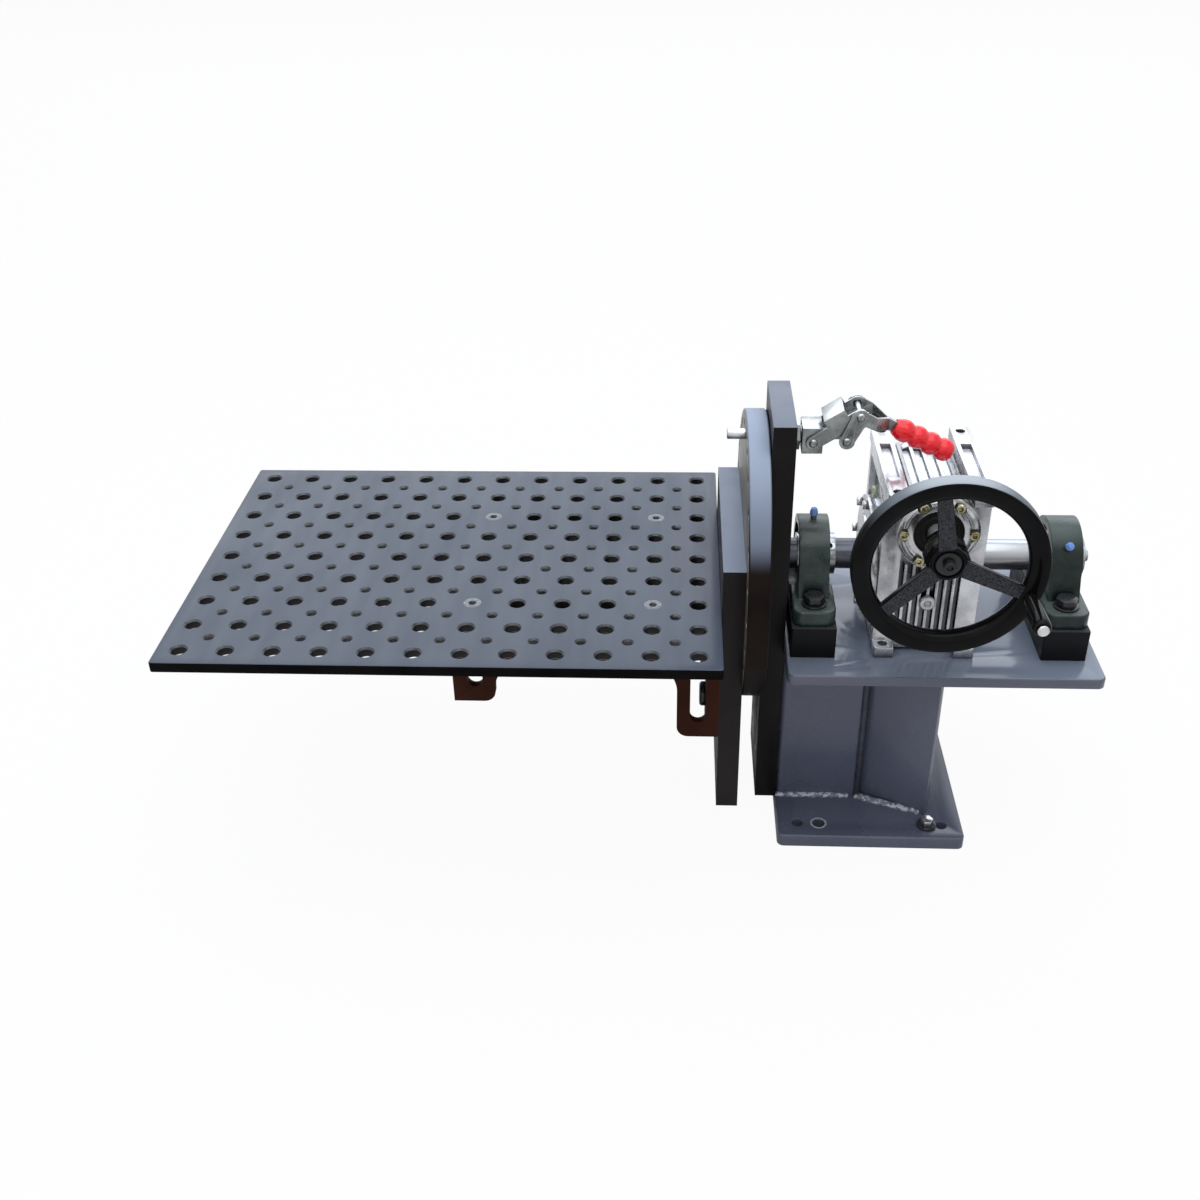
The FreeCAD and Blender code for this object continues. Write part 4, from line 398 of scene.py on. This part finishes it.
riserBlack = surface("riserBlack", {
    "colour": (0.0042, 0.0042, 0.0050), "second": (0.0080, 0.0080, 0.0092), "patch": 20.0,
    "specular": 0.12, "rough": (0.38, 0.52), "roughPatch": 40.0, "round": 0.0008,
    "wear": ((0.05, 0.055, 0.065), 0.5), "lift": [((0.045, 0.052, 0.062), 0.8, 1.0)]})
greenLook = {
    "colour": (0.018, 0.032, 0.030), "second": (0.034, 0.056, 0.052), "patch": 60.0, "specular": 0.35,
    "rough": (0.20, 0.34), "roughPatch": 50.0, "round": 0.0016, "wear": ((0.10, 0.14, 0.13), 0.5),
    "hammer": (420.0, 0.00014), "grain": [(120.0, 0.00008, every)],
    "lift": [((0.084, 0.108, 0.104), 0.55, 1.0)], "crevice": (0.012, (0.008, 0.014, 0.014))}
greenHammer = surface("greenHammer", greenLook)
# painted shade: a darker copy of the green for the right housing, which stands in shade
shadedGreen = surface("shadedGreen", dict(
    greenLook, colour=(0.010, 0.018, 0.016), second=(0.020, 0.033, 0.029), specular=0.22))
shaftSteel = surface("shaftSteel", {
    "colour": (0.040, 0.036, 0.038), "second": (0.110, 0.104, 0.106), "patch": 22.0, "metal": 0.6,
    "rough": (0.14, 0.26), "roughPatch": 1.0, "brush": (600, 20, 20), "round": 0.0004,
    "lift": [((0.30, 0.30, 0.31), -0.25, 0.15), ((0.56, 0.59, 0.63), 0.20, 0.75)],
    "grain": [(1.0, 0.000006, (1500, 20, 20))]})
# painted shade: a darker copy of the shaft steel for the part left of the gearbox, in the column's shade
shadedShaft = surface("shadedShaft", {
    "colour": (0.026, 0.027, 0.034), "second": (0.058, 0.060, 0.070), "patch": 22.0, "metal": 0.4,
    "rough": (0.16, 0.28), "roughPatch": 1.0, "brush": (600, 20, 20), "round": 0.0004,
    "specular": 0.2, "lift": [((0.135, 0.146, 0.175), -0.10, 0.40)]})
screwZinc = surface("screwZinc", {
    "colour": (0.120, 0.128, 0.146), "second": (0.210, 0.222, 0.244), "patch": 260.0, "metal": 0.3,
    "rough": (0.28, 0.40), "roughPatch": 180.0, "round": 0.0004, "crevice": (0.003, (0.010, 0.010, 0.012))})
brightSteel = surface("brightSteel", {
    "colour": (0.46, 0.46, 0.47), "second": (0.72, 0.72, 0.73), "patch": 60.0, "metal": 0.95,
    "rough": (0.14, 0.28), "roughPatch": 120.0, "round": 0.0004,
    "crevice": (0.004, (0.10, 0.10, 0.10))})
zincPlate = surface("zincPlate", {
    "colour": (0.200, 0.212, 0.206), "second": (0.400, 0.416, 0.410), "patch": 42.0, "metal": 0.75,
    "rough": (0.20, 0.36), "roughPatch": 90.0, "round": 0.0006, "wear": ((0.60, 0.62, 0.62), 0.5),
    "lift": [((0.620, 0.665, 0.700), 0.45, 1.0)], "crevice": (0.005, (0.045, 0.048, 0.046))})
castAluminium = surface("castAluminium", {
    "colour": (0.320, 0.322, 0.340), "second": (0.700, 0.704, 0.725), "patch": 26.0, "metal": 0.7,
    "rough": (0.18, 0.36), "roughPatch": 70.0, "round": 0.0012, "wear": ((0.86, 0.87, 0.90), 0.85),
    "grain": [(90.0, 0.00010, every), (700.0, 0.00002, every)],
    "lift": [((0.640, 0.660, 0.710), 0.60, 1.0)], "crevice": (0.012, (0.040, 0.040, 0.046))})
coverAluminium = surface("coverAluminium", {
    "colour": (0.360, 0.362, 0.376), "second": (0.620, 0.625, 0.640), "patch": 60.0, "metal": 0.85,
    "rough": (0.14, 0.24), "roughPatch": 60.0, "round": 0.0012, "wear": ((0.90, 0.91, 0.94), 0.7),
    "grain": [(160.0, 0.00006, every)], "crevice": (0.006, (0.060, 0.060, 0.066))})
yellowZinc = surface("yellowZinc", {
    "colour": (0.36, 0.31, 0.14), "second": (0.66, 0.62, 0.40), "patch": 180.0, "metal": 0.9,
    "rough": (0.18, 0.32), "roughPatch": 140.0, "round": 0.0005, "crevice": (0.003, (0.06, 0.04, 0.01))})
bronze = surface("bronze", {
    "colour": (0.42, 0.25, 0.09), "second": (0.52, 0.33, 0.14), "patch": 50.0, "metal": 1.0,
    "rough": (0.24, 0.38), "roughPatch": 80.0})
sealRubber = surface("sealRubber", {
    "colour": (0.0045, 0.0040, 0.0042), "second": (0.0090, 0.0080, 0.0085), "patch": 90.0,
    "specular": 0.2, "rough": (0.40, 0.56), "roughPatch": 90.0})
blackEnamel = surface("blackEnamel", {
    "colour": (0.0030, 0.0030, 0.0034), "second": (0.0060, 0.0060, 0.0066), "patch": 25.0,
    "specular": 0.08, "rough": (0.10, 0.18), "roughPatch": 30.0, "round": 0.001,
    "grain": [(55.0, 0.00016, every), (240.0, 0.00003, every)]})
rimEnamel = surface("rimEnamel", {
    "colour": (0.0042, 0.0042, 0.0046), "second": (0.0080, 0.0082, 0.0088), "patch": 40.0,
    "specular": 0.16, "rough": (0.34, 0.46), "roughPatch": 60.0, "round": 0.001,
    "grain": [(480.0, 0.00002, every)],
    "lift": [((0.150, 0.172, 0.205), 0.42, 0.90), ((0.420, 0.465, 0.520), 0.80, 1.0)]})
spokeHammer = surface("spokeHammer", {
    "colour": (0.008, 0.008, 0.010), "second": (0.050, 0.052, 0.062), "patch": 520.0, "specular": 0.18,
    "rough": (0.26, 0.38), "roughPatch": 90.0, "hammer": (560.0, 0.00026), "round": 0.0008})
handleBlack = surface("handleBlack", {
    "colour": (0.0040, 0.0040, 0.0042), "second": (0.0075, 0.0075, 0.0080), "patch": 20.0,
    "specular": 0.10, "rough": (0.08, 0.14), "roughPatch": 40.0, "round": 0.0004})
redGrip = surface("redGrip", {
    "colour": (0.94, 0.0040, 0.0150), "second": (0.99, 0.0100, 0.0300), "patch": 60.0, "specular": 0.5,
    "rough": (0.07, 0.14), "roughPatch": 60.0, "grain": [(90.0, 0.0002, every), (240.0, 0.00004, every)],
    "crevice": (0.008, (0.50, 0.002, 0.006))})
blueCap = surface("blueCap", {
    "colour": (0.150, 0.290, 0.760), "second": (0.260, 0.430, 0.860), "patch": 200.0, "specular": 0.3,
    "rough": (0.34, 0.46), "roughPatch": 150.0})
plugGreen = surface("plugGreen", {
    "colour": (0.330, 0.390, 0.250), "second": (0.500, 0.560, 0.400), "patch": 180.0, "metal": 0.4,
    "rough": (0.25, 0.40), "roughPatch": 150.0})
weldBead = surface("weldBead", {
    "colour": (0.120, 0.135, 0.185), "second": (0.200, 0.220, 0.290), "patch": 160.0,
    "specks": (190.0, (0.52, 0.57, 0.66), 0.50), "rough": (0.30, 0.48), "roughPatch": 90.0,
    "grain": [(400.0, 0.0001, every)]})
paintedBead = surface("paintedBead", {
    "colour": (0.030, 0.033, 0.045), "second": (0.052, 0.056, 0.076), "patch": 90.0,
    "specks": (210.0, (0.16, 0.18, 0.24), 0.30), "specular": 0.3, "rough": (0.30, 0.44),
    "roughPatch": 90.0})
scrapedPaint = surface("scrapedPaint", {
    "colour": (0.28, 0.31, 0.37), "second": (0.50, 0.53, 0.58), "patch": 300.0,
    "rough": (0.40, 0.60), "roughPatch": 200.0})
print("finishes made:", len(bpy.data.materials))


easedEdges = {"base_plate": 0.0006, "column_tube": 0.0006, "gusset_front": 0.0008,
              "gusset_rear": 0.0008}
for node, edge in easedEdges.items():
    dressed(node, "frame", "frame_paint", framePaint, edge)
dressed("deck_plate", "frame", "frame_paint", deckPaint, 0.0014)

baseLow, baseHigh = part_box("base_plate")
tubeLow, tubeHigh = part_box("column_tube")
gussetLow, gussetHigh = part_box("gusset_front")

weld = {"blob": 0.0048, "step": 0.0028, "flat": 0.75}


def weldSeam(name, start, end, finish):
    # a row of overlapping ripples along a joint
    start, end = Vector(start), Vector(end)
    run = end - start
    dropSelection()
    bpy.ops.mesh.primitive_ico_sphere_add(subdivisions=2, radius=weld["blob"], location=start)
    ripple = named(name)
    bpy.ops.object.mode_set(mode="EDIT")
    bpy.ops.mesh.select_all(action="SELECT")
    shrink = (1.0, 1.0, weld["flat"]) if abs(run.z) < 0.01 else (weld["flat"], weld["flat"], 1.0)
    bpy.ops.transform.resize(value=shrink, center_override=start)
    bpy.ops.object.mode_set(mode="OBJECT")
    step = run.normalized() * weld["step"]
    applied(ripple, "ARRAY", count=int(run.length / weld["step"]), use_relative_offset=False,
            use_constant_offset=True, constant_offset_displace=step)
    tidied(ripple, 60)
    return settle(ripple, "frame", "frame_paint", finish)


seamHeight = tubeLow.z + 0.0012
for side, word in ((-1, "Front"), (1, "Rear")):
    face = tubeHigh.y * side
    corner = (tubeHigh.x - 0.004, face - side * 0.002)
    spread = gussetLow.y + 0.004 if side < 0 else -gussetLow.y - 0.004
    reach = (gussetHigh.x - 0.012, spread)
    weldSeam("weldTubeFoot" + word, (tubeLow.x + 0.004, face, seamHeight),
             (corner[0] - 0.006, face, seamHeight), weldBead)
    weldSeam("weldGussetFoot" + word, (corner[0] + 0.004, face + side * 0.002, seamHeight),
             (reach[0], reach[1], seamHeight), weldBead)
    weldSeam("weldCorner" + word, (corner[0] + 0.003, face - side * 0.001, seamHeight + 0.004),
             (corner[0] + 0.003, face - side * 0.001, tubeHigh.z - 0.004), paintedBead)

# the front inner hole was scraped when its bolt went in
scrape = {"inner": 0.0078, "outer": 0.0098, "rise": 0.00015, "fromSide": 0.0500, "fromFront": 0.0235}
turned("scrapedRing", [(scrape["inner"], -0.0005), (scrape["outer"], -0.0005),
                       (scrape["outer"], scrape["rise"]), (scrape["inner"], scrape["rise"]),
                       (scrape["inner"], -0.0005)],
       (baseLow.x + scrape["fromSide"], baseLow.y + scrape["fromFront"], baseHigh.z))
settle(bpy.data.objects["scrapedRing"], "frame", "frame_paint", scrapedPaint)

dressed("anchor_bolt", "frame", "bright_steel", brightSteel, 0.0005)
dressed("anchor_washer", "frame", "black_steel", blackSteel, 0.0003)
print("base, column and deck done")


nippleCap = {"left": 0.35, "right": 0.90}      # shares of the nipple's box at which its cap begins


def capTest(side):
    low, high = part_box("grease_nipple_" + side)

    def isCap(face):
        height = (face.center.z - low.z) / (high.z - low.z)
        forward = (high.y - face.center.y) / (high.y - low.y)
        # the right nipple leans forward, so its height and reach count together
        return height + (forward if side == "right" else 0) > nippleCap[side]
    return isCap


dressed("side_plate", "frame", "side_steel", sidePlateSteel, 0.0007)
dressed("side_plate_screws", "frame", "black_steel", blackSteel, 0.0003)
for side in ("left", "right"):
    dressed("riser_" + side, "frame", "black_steel", riserBlack, 0.0006)
    dressed("pillow_housing_" + side, "frame", "green_hammered",
            greenHammer if side == "left" else shadedGreen, 0.0022, 3)
    dressed("bearing_collar_" + side, "table_rotor", "bright_steel", shaftSteel, 0.0006)
    nipple = dressed("grease_nipple_" + side, "frame", "zinc_plate", zincPlate, 0.0006)
    faceSlot(nipple, blueCap, capTest(side))
dressed("bearing_outer_rings", "frame", "bright_steel", brightSteel, 0.0006)
dressed("pillow_bolts", "frame", "black_steel", blackSteel, 0.0008)
dressed("pillow_washers", "frame", "black_steel", blackSteel, 0.0004)
shaft = dressed("drive_shaft", "table_rotor", "bright_steel", shaftSteel, 0.0005)
take(shaft)
bpy.ops.object.mode_set(mode="EDIT")
bpy.ops.mesh.select_all(action="SELECT")
split = middleOf("gearbox_housing").x
bpy.ops.mesh.bisect(plane_co=(split, 0, 0), plane_no=(1, 0, 0))
bpy.ops.object.mode_set(mode="OBJECT")
# the part left of the gearbox gets the painted shade copy
faceSlot(shaft, shadedShaft, lambda face: face.center.x < split)
print("shaft line done")


disc = dressed("faceplate", "table_rotor", "disc_steel", discSteel, 0.0005)
faceSlot(disc, discFaceSteel, lambda face: abs(face.normal.x) > 0.9)
dressed("index_dowel", "table_rotor", "bright_steel", brightSteel, 0.0005)
dressed("mounting_plate", "table_rotor", "side_steel", mountingPlateSteel, 0.0007)
dressed("mounting_plate_screws", "table_rotor", "black_steel", blackSteel, 0.0003)
for end in ("front", "rear"):
    dressed("bracket_" + end, "table_rotor", "bracket_brown", bracketBrown, 0.0012)
dressed("bracket_screws", "table_rotor", "black_steel", blackSteel, 0.0006)
dressed("table_nuts", "table_rotor", "black_steel", blackSteel, 0.0005)
print("faceplate and brackets done")


table = {"pitch": 0.050, "margin": 0.025, "columns": 12, "rows": 9, "corner": 0.003,
         "plain": 0.0080, "plainMouth": 0.0100, "tapped": 0.0045, "tappedMouth": 0.0064, "edge": 0.0009,
         "plainSteps": 32, "tappedSteps": 24}


def holeCutters(name, radius, mouth, steps, first, columns, rows, wall):
    low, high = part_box("welding_table")
    rise = mouth - radius
    depth = high.z - low.z
    cutter = turned(name, [(0, -0.002), (mouth + 0.002, -0.002), (radius, rise), (radius, depth - rise),
                           (mouth + 0.002, depth + 0.002), (0, depth + 0.002)],
                    (first[0], first[1], low.z), "Z", steps)
    applied(cutter, "ARRAY", count=columns, use_relative_offset=False, use_constant_offset=True,
            constant_offset_displace=(table["pitch"], 0, 0))
    applied(cutter, "ARRAY", count=rows, use_relative_offset=False, use_constant_offset=True,
            constant_offset_displace=(0, table["pitch"], 0))
    cutter.data.materials.append(wall)
    faceSlot(cutter, holeChamfer, lambda face: 0.2 < abs(face.normal.z) < 0.95)
    return cutter


tableLow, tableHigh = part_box("welding_table")
dropSelection()
bpy.ops.mesh.primitive_cube_add(size=1, location=middleOf("welding_table"), scale=tableHigh - tableLow)
slab = placed(named("weldingTable"))
pickEdges(slab, lambda first, second: abs(first.z - second.z) > 0.005)
bpy.ops.mesh.bevel(offset=table["corner"], segments=4)
bpy.ops.object.mode_set(mode="OBJECT")
applied(slab, "BEVEL", width=table["edge"], segments=2, limit_method="ANGLE", angle_limit=math.radians(60))
slab.data.materials.append(tableSteel)
faceSlot(slab, tableEdge, lambda face: abs(face.normal.z) < 0.5)
firstHole = (tableLow.x + table["margin"], tableLow.y + table["margin"])
plainCutters = holeCutters("plainCutters", table["plain"], table["plainMouth"], table["plainSteps"],
                           firstHole, table["columns"], table["rows"], shadedHoleWall)
middleHole = (firstHole[0] + table["pitch"] / 2, firstHole[1] + table["pitch"] / 2)
tappedCutters = holeCutters("tappedCutters", table["tapped"], table["tappedMouth"], table["tappedSteps"],
                            middleHole, table["columns"] - 1, table["rows"] - 1, threadSteel)
for cutter in (plainCutters, tappedCutters):
    applied(slab, "BOOLEAN", operation="DIFFERENCE", object=cutter, solver="EXACT",
            material_mode="TRANSFER")
    bpy.data.objects.remove(cutter)
take(slab)
bpy.ops.object.shade_smooth_by_angle(angle=math.radians(32))
settle(slab, "table_rotor", "table_steel", None, "welding_table")
dressed("table_screws", "table_rotor", "black_steel", screwZinc, 0.0003)
print("table done:", len(slab.data.polygons), "faces")


dressed("gearbox_housing", "frame", "cast_aluminium", castAluminium, 0.0008, 2)
for node in ("gearbox_side_cover", "worm_rear_cap", "level_plug"):
    dressed(node, "frame", "cast_aluminium", castAluminium, 0.0006)
dressed("input_cover", "frame", "cast_aluminium", coverAluminium, 0.0006)
dressed("side_cover_screws", "frame", "yellow_zinc", coverAluminium, 0.0006)
dressed("input_cover_screws", "frame", "yellow_zinc", yellowZinc, 0.0006)
dressed("input_seal", "frame", "seal_rubber", sealRubber, 0.0003)
dressed("gearbox_bolts", "frame", "black_steel", blackSteel, 0.0005)
for node in ("wheel_bearings", "worm_bearings"):
    dressed(node, "frame", "bright_steel", brightSteel, 0.0004)
dressed("worm_wheel", "table_rotor", "bronze", bronze, 0.0)
dressed("worm_shaft", "handwheel", "bright_steel", shaftSteel, 0.0)
sidePlug = {"radius": 0.0072, "rise": 0.0050, "socket": 0.0038, "socketDeep": 0.0025, "fromFront": 0.081,
            "belowTop": 0.037, "edge": 0.0005}
housingLow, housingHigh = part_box("gearbox_housing")
dropSelection()
bpy.ops.mesh.primitive_cylinder_add(vertices=6, radius=sidePlug["radius"], depth=sidePlug["rise"],
                                    location=(housingLow.x - sidePlug["rise"] / 2,
                                              housingLow.y + sidePlug["fromFront"],
                                              housingHigh.z - sidePlug["belowTop"]),
                                    rotation=(0, math.radians(90), 0))
plug = placed(named("sidePlug"))
pickFaces(plug, lambda centre, normal: normal.x < -0.9)
bpy.ops.mesh.inset(thickness=sidePlug["radius"] - sidePlug["socket"])
bpy.ops.mesh.extrude_region_move(TRANSFORM_OT_translate={"value": (sidePlug["socketDeep"], 0, 0)})
bpy.ops.object.mode_set(mode="OBJECT")
applied(plug, "BEVEL", width=sidePlug["edge"], segments=2, limit_method="ANGLE",
        angle_limit=math.radians(30))
settle(tidied(plug), "frame", "cast_aluminium", plugGreen)
print("gearbox done")


# rimSection: distance in from the rim's edge, and half the thickness there
wheel = {"rimHalf": 0.0105, "outerBand": 0.0012, "rimSteps": 128, "hubSteps": 64, "bossSides": 8,
         "rimSection": [(0, 0.0080), (0.0006, 0.0096), (0.0020, 0.0104), (0.0065, 0.0104), (0.0120, 0.0098),
                        (0.0170, 0.0082), (0.0198, 0.0056), (0.0208, 0.0022)],
         "spokeAngles": (100, -20, -140), "spokeFrom": 0.016, "spokeTo": 0.081, "spokeDeep": 0.011,
         "spokeWide": 0.020, "spokeTaper": 0.78, "backTaper": 0.82, "spokeMiddle": 0.0090, "lean": 0.0095,
         "spokeEdge": 0.0014}
wheelLow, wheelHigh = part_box("handwheel")
wheelCentre = (middleOf("handwheel").x, wheelLow.y + wheel["rimHalf"], middleOf("handwheel").z)
rimRadius = (wheelHigh.x - wheelLow.x) / 2
hubBack = wheelHigh.y - wheelLow.y - wheel["rimHalf"]
frontHalf = [(rimRadius - inset, -half) for inset, half in wheel["rimSection"]]
backHalf = [(rimRadius - inset, half) for inset, half in reversed(wheel["rimSection"])]
rim = turned("rim", frontHalf + backHalf + frontHalf[:1], wheelCentre, "Y", wheel["rimSteps"])
rim.data.materials.append(blackEnamel)


def fromWheelAxis(face):
    return math.hypot(face.center.x - wheelCentre[0], face.center.z - wheelCentre[2])


faceSlot(rim, rimEnamel, lambda face: fromWheelAxis(face) > rimRadius - wheel["outerBand"])
hub = turned("hub", [
    (0.0101, hubBack), (0.0165, hubBack), (0.0188, hubBack - 0.004),
    (0.0200, 0.0330), (0.0200, 0.0096), (0.0194, 0.0052), (0.0178, 0.0036), (0.0156, 0.0036),
    (0.0146, 0.0046), (0.0142, 0.0060), (0.0101, 0.0060), (0.0101, hubBack)],
    wheelCentre, "Y", wheel["hubSteps"])
boss = turned("boss", [
    (0.0150, 0.0100), (0.0216, 0.0100), (0.0240, 0.0126), (0.0240, 0.0262), (0.0208, 0.0300),
    (0.0150, 0.0300), (0.0150, 0.0100)], wheelCentre, "Y", wheel["bossSides"])
for part in (hub, boss):
    part.data.materials.append(blackEnamel)
dropSelection()
reach = wheel["spokeTo"] - wheel["spokeFrom"]
bpy.ops.mesh.primitive_cube_add(size=1, location=(wheel["spokeFrom"] + reach / 2, wheel["spokeMiddle"], 0),
                                scale=(reach, wheel["spokeDeep"], wheel["spokeWide"]))
spoke = placed(named("spoke"))
pickFaces(spoke, lambda centre, normal: normal.x > 0.9)
bpy.ops.transform.translate(value=(0, -wheel["lean"], 0))
bpy.ops.transform.resize(value=(1, 1, wheel["spokeTaper"]))
pickFaces(spoke, lambda centre, normal: normal.y > 0.8)
bpy.ops.transform.resize(value=(1, 1, wheel["backTaper"]))
bpy.ops.object.mode_set(mode="OBJECT")
applied(spoke, "BEVEL", width=wheel["spokeEdge"], segments=3, limit_method="ANGLE",
        angle_limit=math.radians(30))
spoke.data.materials.append(blackEnamel)
faceSlot(spoke, spokeHammer, lambda face: face.normal.y < -0.9)
tidied(spoke)
parts = [rim, hub, boss]
for number, angle in enumerate(wheel["spokeAngles"]):
    arm = again(spoke, "spoke%d" % number)
    arm.rotation_euler = (0, math.radians(-angle), 0)
    arm.location = wheelCentre
    parts.append(placed(arm))
bpy.data.objects.remove(spoke)
settle(joined(parts, "handwheelRim"), "handwheel", "black_enamel", None, "handwheel")
dressed("handwheel_washer", "handwheel", "black_steel", blackSteel, 0.0004)
dressed("handwheel_screw", "handwheel", "black_steel", blackSteel, 0.0008, 3)
dressed("handle_spindle", "handwheel", "bright_steel", brightSteel, 0.0006)

handleLow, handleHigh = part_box("revolving_handle")
handleCentre = (middleOf("revolving_handle").x, handleHigh.y, middleOf("revolving_handle").z)
handle = {"long": handleHigh.y - handleLow.y, "bore": 0.0041}
settle(turned("revolvingHandle", [
    (handle["bore"], 0), (0.0066, 0), (0.0074, -0.0012), (0.0080, -0.0080), (0.0086, -0.0200),
    (0.0092, -0.0340), (0.0095, -0.0460), (0.0095, -0.0530), (0.0091, -0.0560), (0.0083, -0.0578),
    (0.0070, -handle["long"]), (0.0062, -handle["long"]), (0.0060, 0.0012 - handle["long"]),
    (handle["bore"], 0.0016 - handle["long"]), (handle["bore"], 0)], handleCentre, "Y", 56),
    "revolving_handle", "black_handle", handleBlack, "revolving_handle")
print("handwheel done")


dressed("clamp_block", "frame", "zinc_plate", zincPlate, 0.0006)
dressed("clamp_locknut", "frame", "zinc_plate", zincPlate, 0.0006)
dressed("clamp_block_rivets", "frame", "zinc_plate", zincPlate, 0.0004)
dressed("clamp_plunger", "plunger", "zinc_plate", zincPlate, 0.0005)
dressed("clamp_plunger_rivet", "plunger", "zinc_plate", zincPlate, 0.0004)
dressed("clamp_link", "clamp_link", "zinc_plate", zincPlate, 0.0006)
dressed("clamp_lever", "clamp_handle", "zinc_plate", zincPlate, 0.0006)
leverLow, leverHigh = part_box("clamp_lever")
# outline: distance along from the lever's left end, and down from its top
leverWeb = {"recess": 0.00015, "thick": 0.00215, "edge": 0.0004, "outline": [
    (0.0119, 0.0050), (0.0104, 0.0115), (0.0064, 0.0215), (0.0024, 0.0305), (0.0019, 0.0375),
    (0.0054, 0.0435), (0.0121, 0.0430), (0.0156, 0.0365), (0.0162, 0.0305), (0.0169, 0.0257),
    (0.0204, 0.0223), (0.0259, 0.0207), (0.0314, 0.0175), (0.0329, 0.0105), (0.0289, 0.0030),
    (0.0209, 0.0010), (0.0149, 0.0020)]}
for side, word in ((-1, "Front"), (1, "Rear")):
    dropSelection()
    bpy.ops.mesh.primitive_circle_add(vertices=len(leverWeb["outline"]), fill_type="NGON")
    web = named("leverWeb" + word)
    outside = side * (leverHigh.y - leverWeb["recess"])
    for corner, (along, down) in zip(web.data.vertices, leverWeb["outline"]):
        corner.co = (leverLow.x + along, outside, leverHigh.z - down)
    take(web)
    bpy.ops.object.mode_set(mode="EDIT")
    bpy.ops.mesh.select_all(action="SELECT")
    bpy.ops.mesh.extrude_region_move(TRANSFORM_OT_translate={"value": (0, -side * leverWeb["thick"], 0)})
    bpy.ops.object.mode_set(mode="OBJECT")
    applied(web, "BEVEL", width=leverWeb["edge"], segments=2, limit_method="ANGLE",
            angle_limit=math.radians(50))
    settle(tidied(web), "clamp_handle", "zinc_plate", zincPlate)
dressed("clamp_link_rivet", "clamp_handle", "zinc_plate", zincPlate, 0.0004)
dressed("clamp_grip", "clamp_handle", "red_grip", redGrip, 0.0015, 3)
print("clamp done")


studio = {"sky": 0.50, "topPower": 44.0, "backPower": 120.0, "fillPower": 2.0, "floorWhite": 0.94}
dropSelection()
bpy.ops.mesh.primitive_plane_add(size=60, location=(0, 0, -0.0004))
floor = placed(named("floor"))
floorPaint = bpy.data.materials.new("floorPaint")
floorPaint.use_nodes = True
floorNodes = floorPaint.node_tree.nodes
floorLink = floorPaint.node_tree.links.new
paint = floorNodes["Principled BSDF"]
paint.inputs["Base Color"].default_value = (0.90, 0.90, 0.90, 1)
paint.inputs["Roughness"].default_value = 0.9
paint.inputs["Specular IOR Level"].default_value = 0.1
plainWhite = floorNodes.new("ShaderNodeEmission")       # white background that keeps part of the shadow
plainWhite.inputs["Strength"].default_value = 1.0
floorRays = floorNodes.new("ShaderNodeLightPath")
floorShare = floorNodes.new("ShaderNodeMath")
floorShare.operation = "MULTIPLY"
floorShare.inputs[1].default_value = studio["floorWhite"]
floorLink(floorRays.outputs["Is Camera Ray"], floorShare.inputs[0])
floorBlend = floorNodes.new("ShaderNodeMixShader")
floorLink(floorShare.outputs["Value"], floorBlend.inputs["Fac"])
floorLink(paint.outputs["BSDF"], floorBlend.inputs[1])
floorLink(plainWhite.outputs["Emission"], floorBlend.inputs[2])
floorLink(floorBlend.outputs["Shader"], floorNodes["Material Output"].inputs["Surface"])
floor.data.materials.append(floorPaint)

world = bpy.data.worlds.new("studioWorld")
scene.world = world
world.use_nodes = True
worldNodes = world.node_tree.nodes
worldLink = world.node_tree.links.new
sky = worldNodes["Background"]
sky.inputs["Color"].default_value = (1, 1, 1, 1)
rays = worldNodes.new("ShaderNodeLightPath")
seen = worldNodes.new("ShaderNodeMath")
seen.operation = "MAXIMUM"
worldLink(rays.outputs["Is Camera Ray"], seen.inputs[0])
worldLink(rays.outputs["Is Glossy Ray"], seen.inputs[1])
seenToo = worldNodes.new("ShaderNodeMath")
seenToo.operation = "MAXIMUM"
worldLink(seen.outputs["Value"], seenToo.inputs[0])
worldLink(rays.outputs["Is Transmission Ray"], seenToo.inputs[1])
level = worldNodes.new("ShaderNodeMapRange")
level.inputs["To Min"].default_value = studio["sky"]
level.inputs["To Max"].default_value = 1.0
worldLink(seenToo.outputs["Value"], level.inputs["Value"])
worldLink(level.outputs["Result"], sky.inputs["Strength"])


def softbox(name, power, size, location, target, tint=(1, 1, 1)):
    dropSelection()
    bpy.ops.object.light_add(type="AREA", location=location)
    lamp = named(name)
    lamp.data.shape = "RECTANGLE"
    lamp.data.size, lamp.data.size_y = size
    lamp.data.energy = power
    lamp.data.color = tint
    lamp.rotation_euler = (Vector(target) - Vector(location)).to_track_quat("-Z", "Y").to_euler()
    lamp.visible_camera = False
    return lamp


softbox("topSoftbox", studio["topPower"], (3.0, 3.0), (-0.3, -0.2, 2.6), (-0.3, 0, 0.3), (0.92, 0.96, 1.0))
softbox("backPanel", studio["backPower"], (8.0, 3.2), (-0.3, 5.0, 3.4), (-0.3, 0, 0.3), (0.82, 0.91, 1.0))
softbox("frontFill", studio["fillPower"], (2.0, 1.2), (-1.2, -2.6, 1.6), (-0.2, 0, 0.3))

dropSelection()
bpy.ops.object.camera_add(location=(-0.2347, -1.3686, 1.1137),
                          rotation=[math.radians(turn) for turn in (58.0577, 1.1540, 3.0021)])
camera = named("camera")
camera.data.lens = 40.84
camera.data.sensor_width = 36
camera.data.clip_start = 0.01
scene.camera = camera
scene.view_settings.view_transform = "Standard"
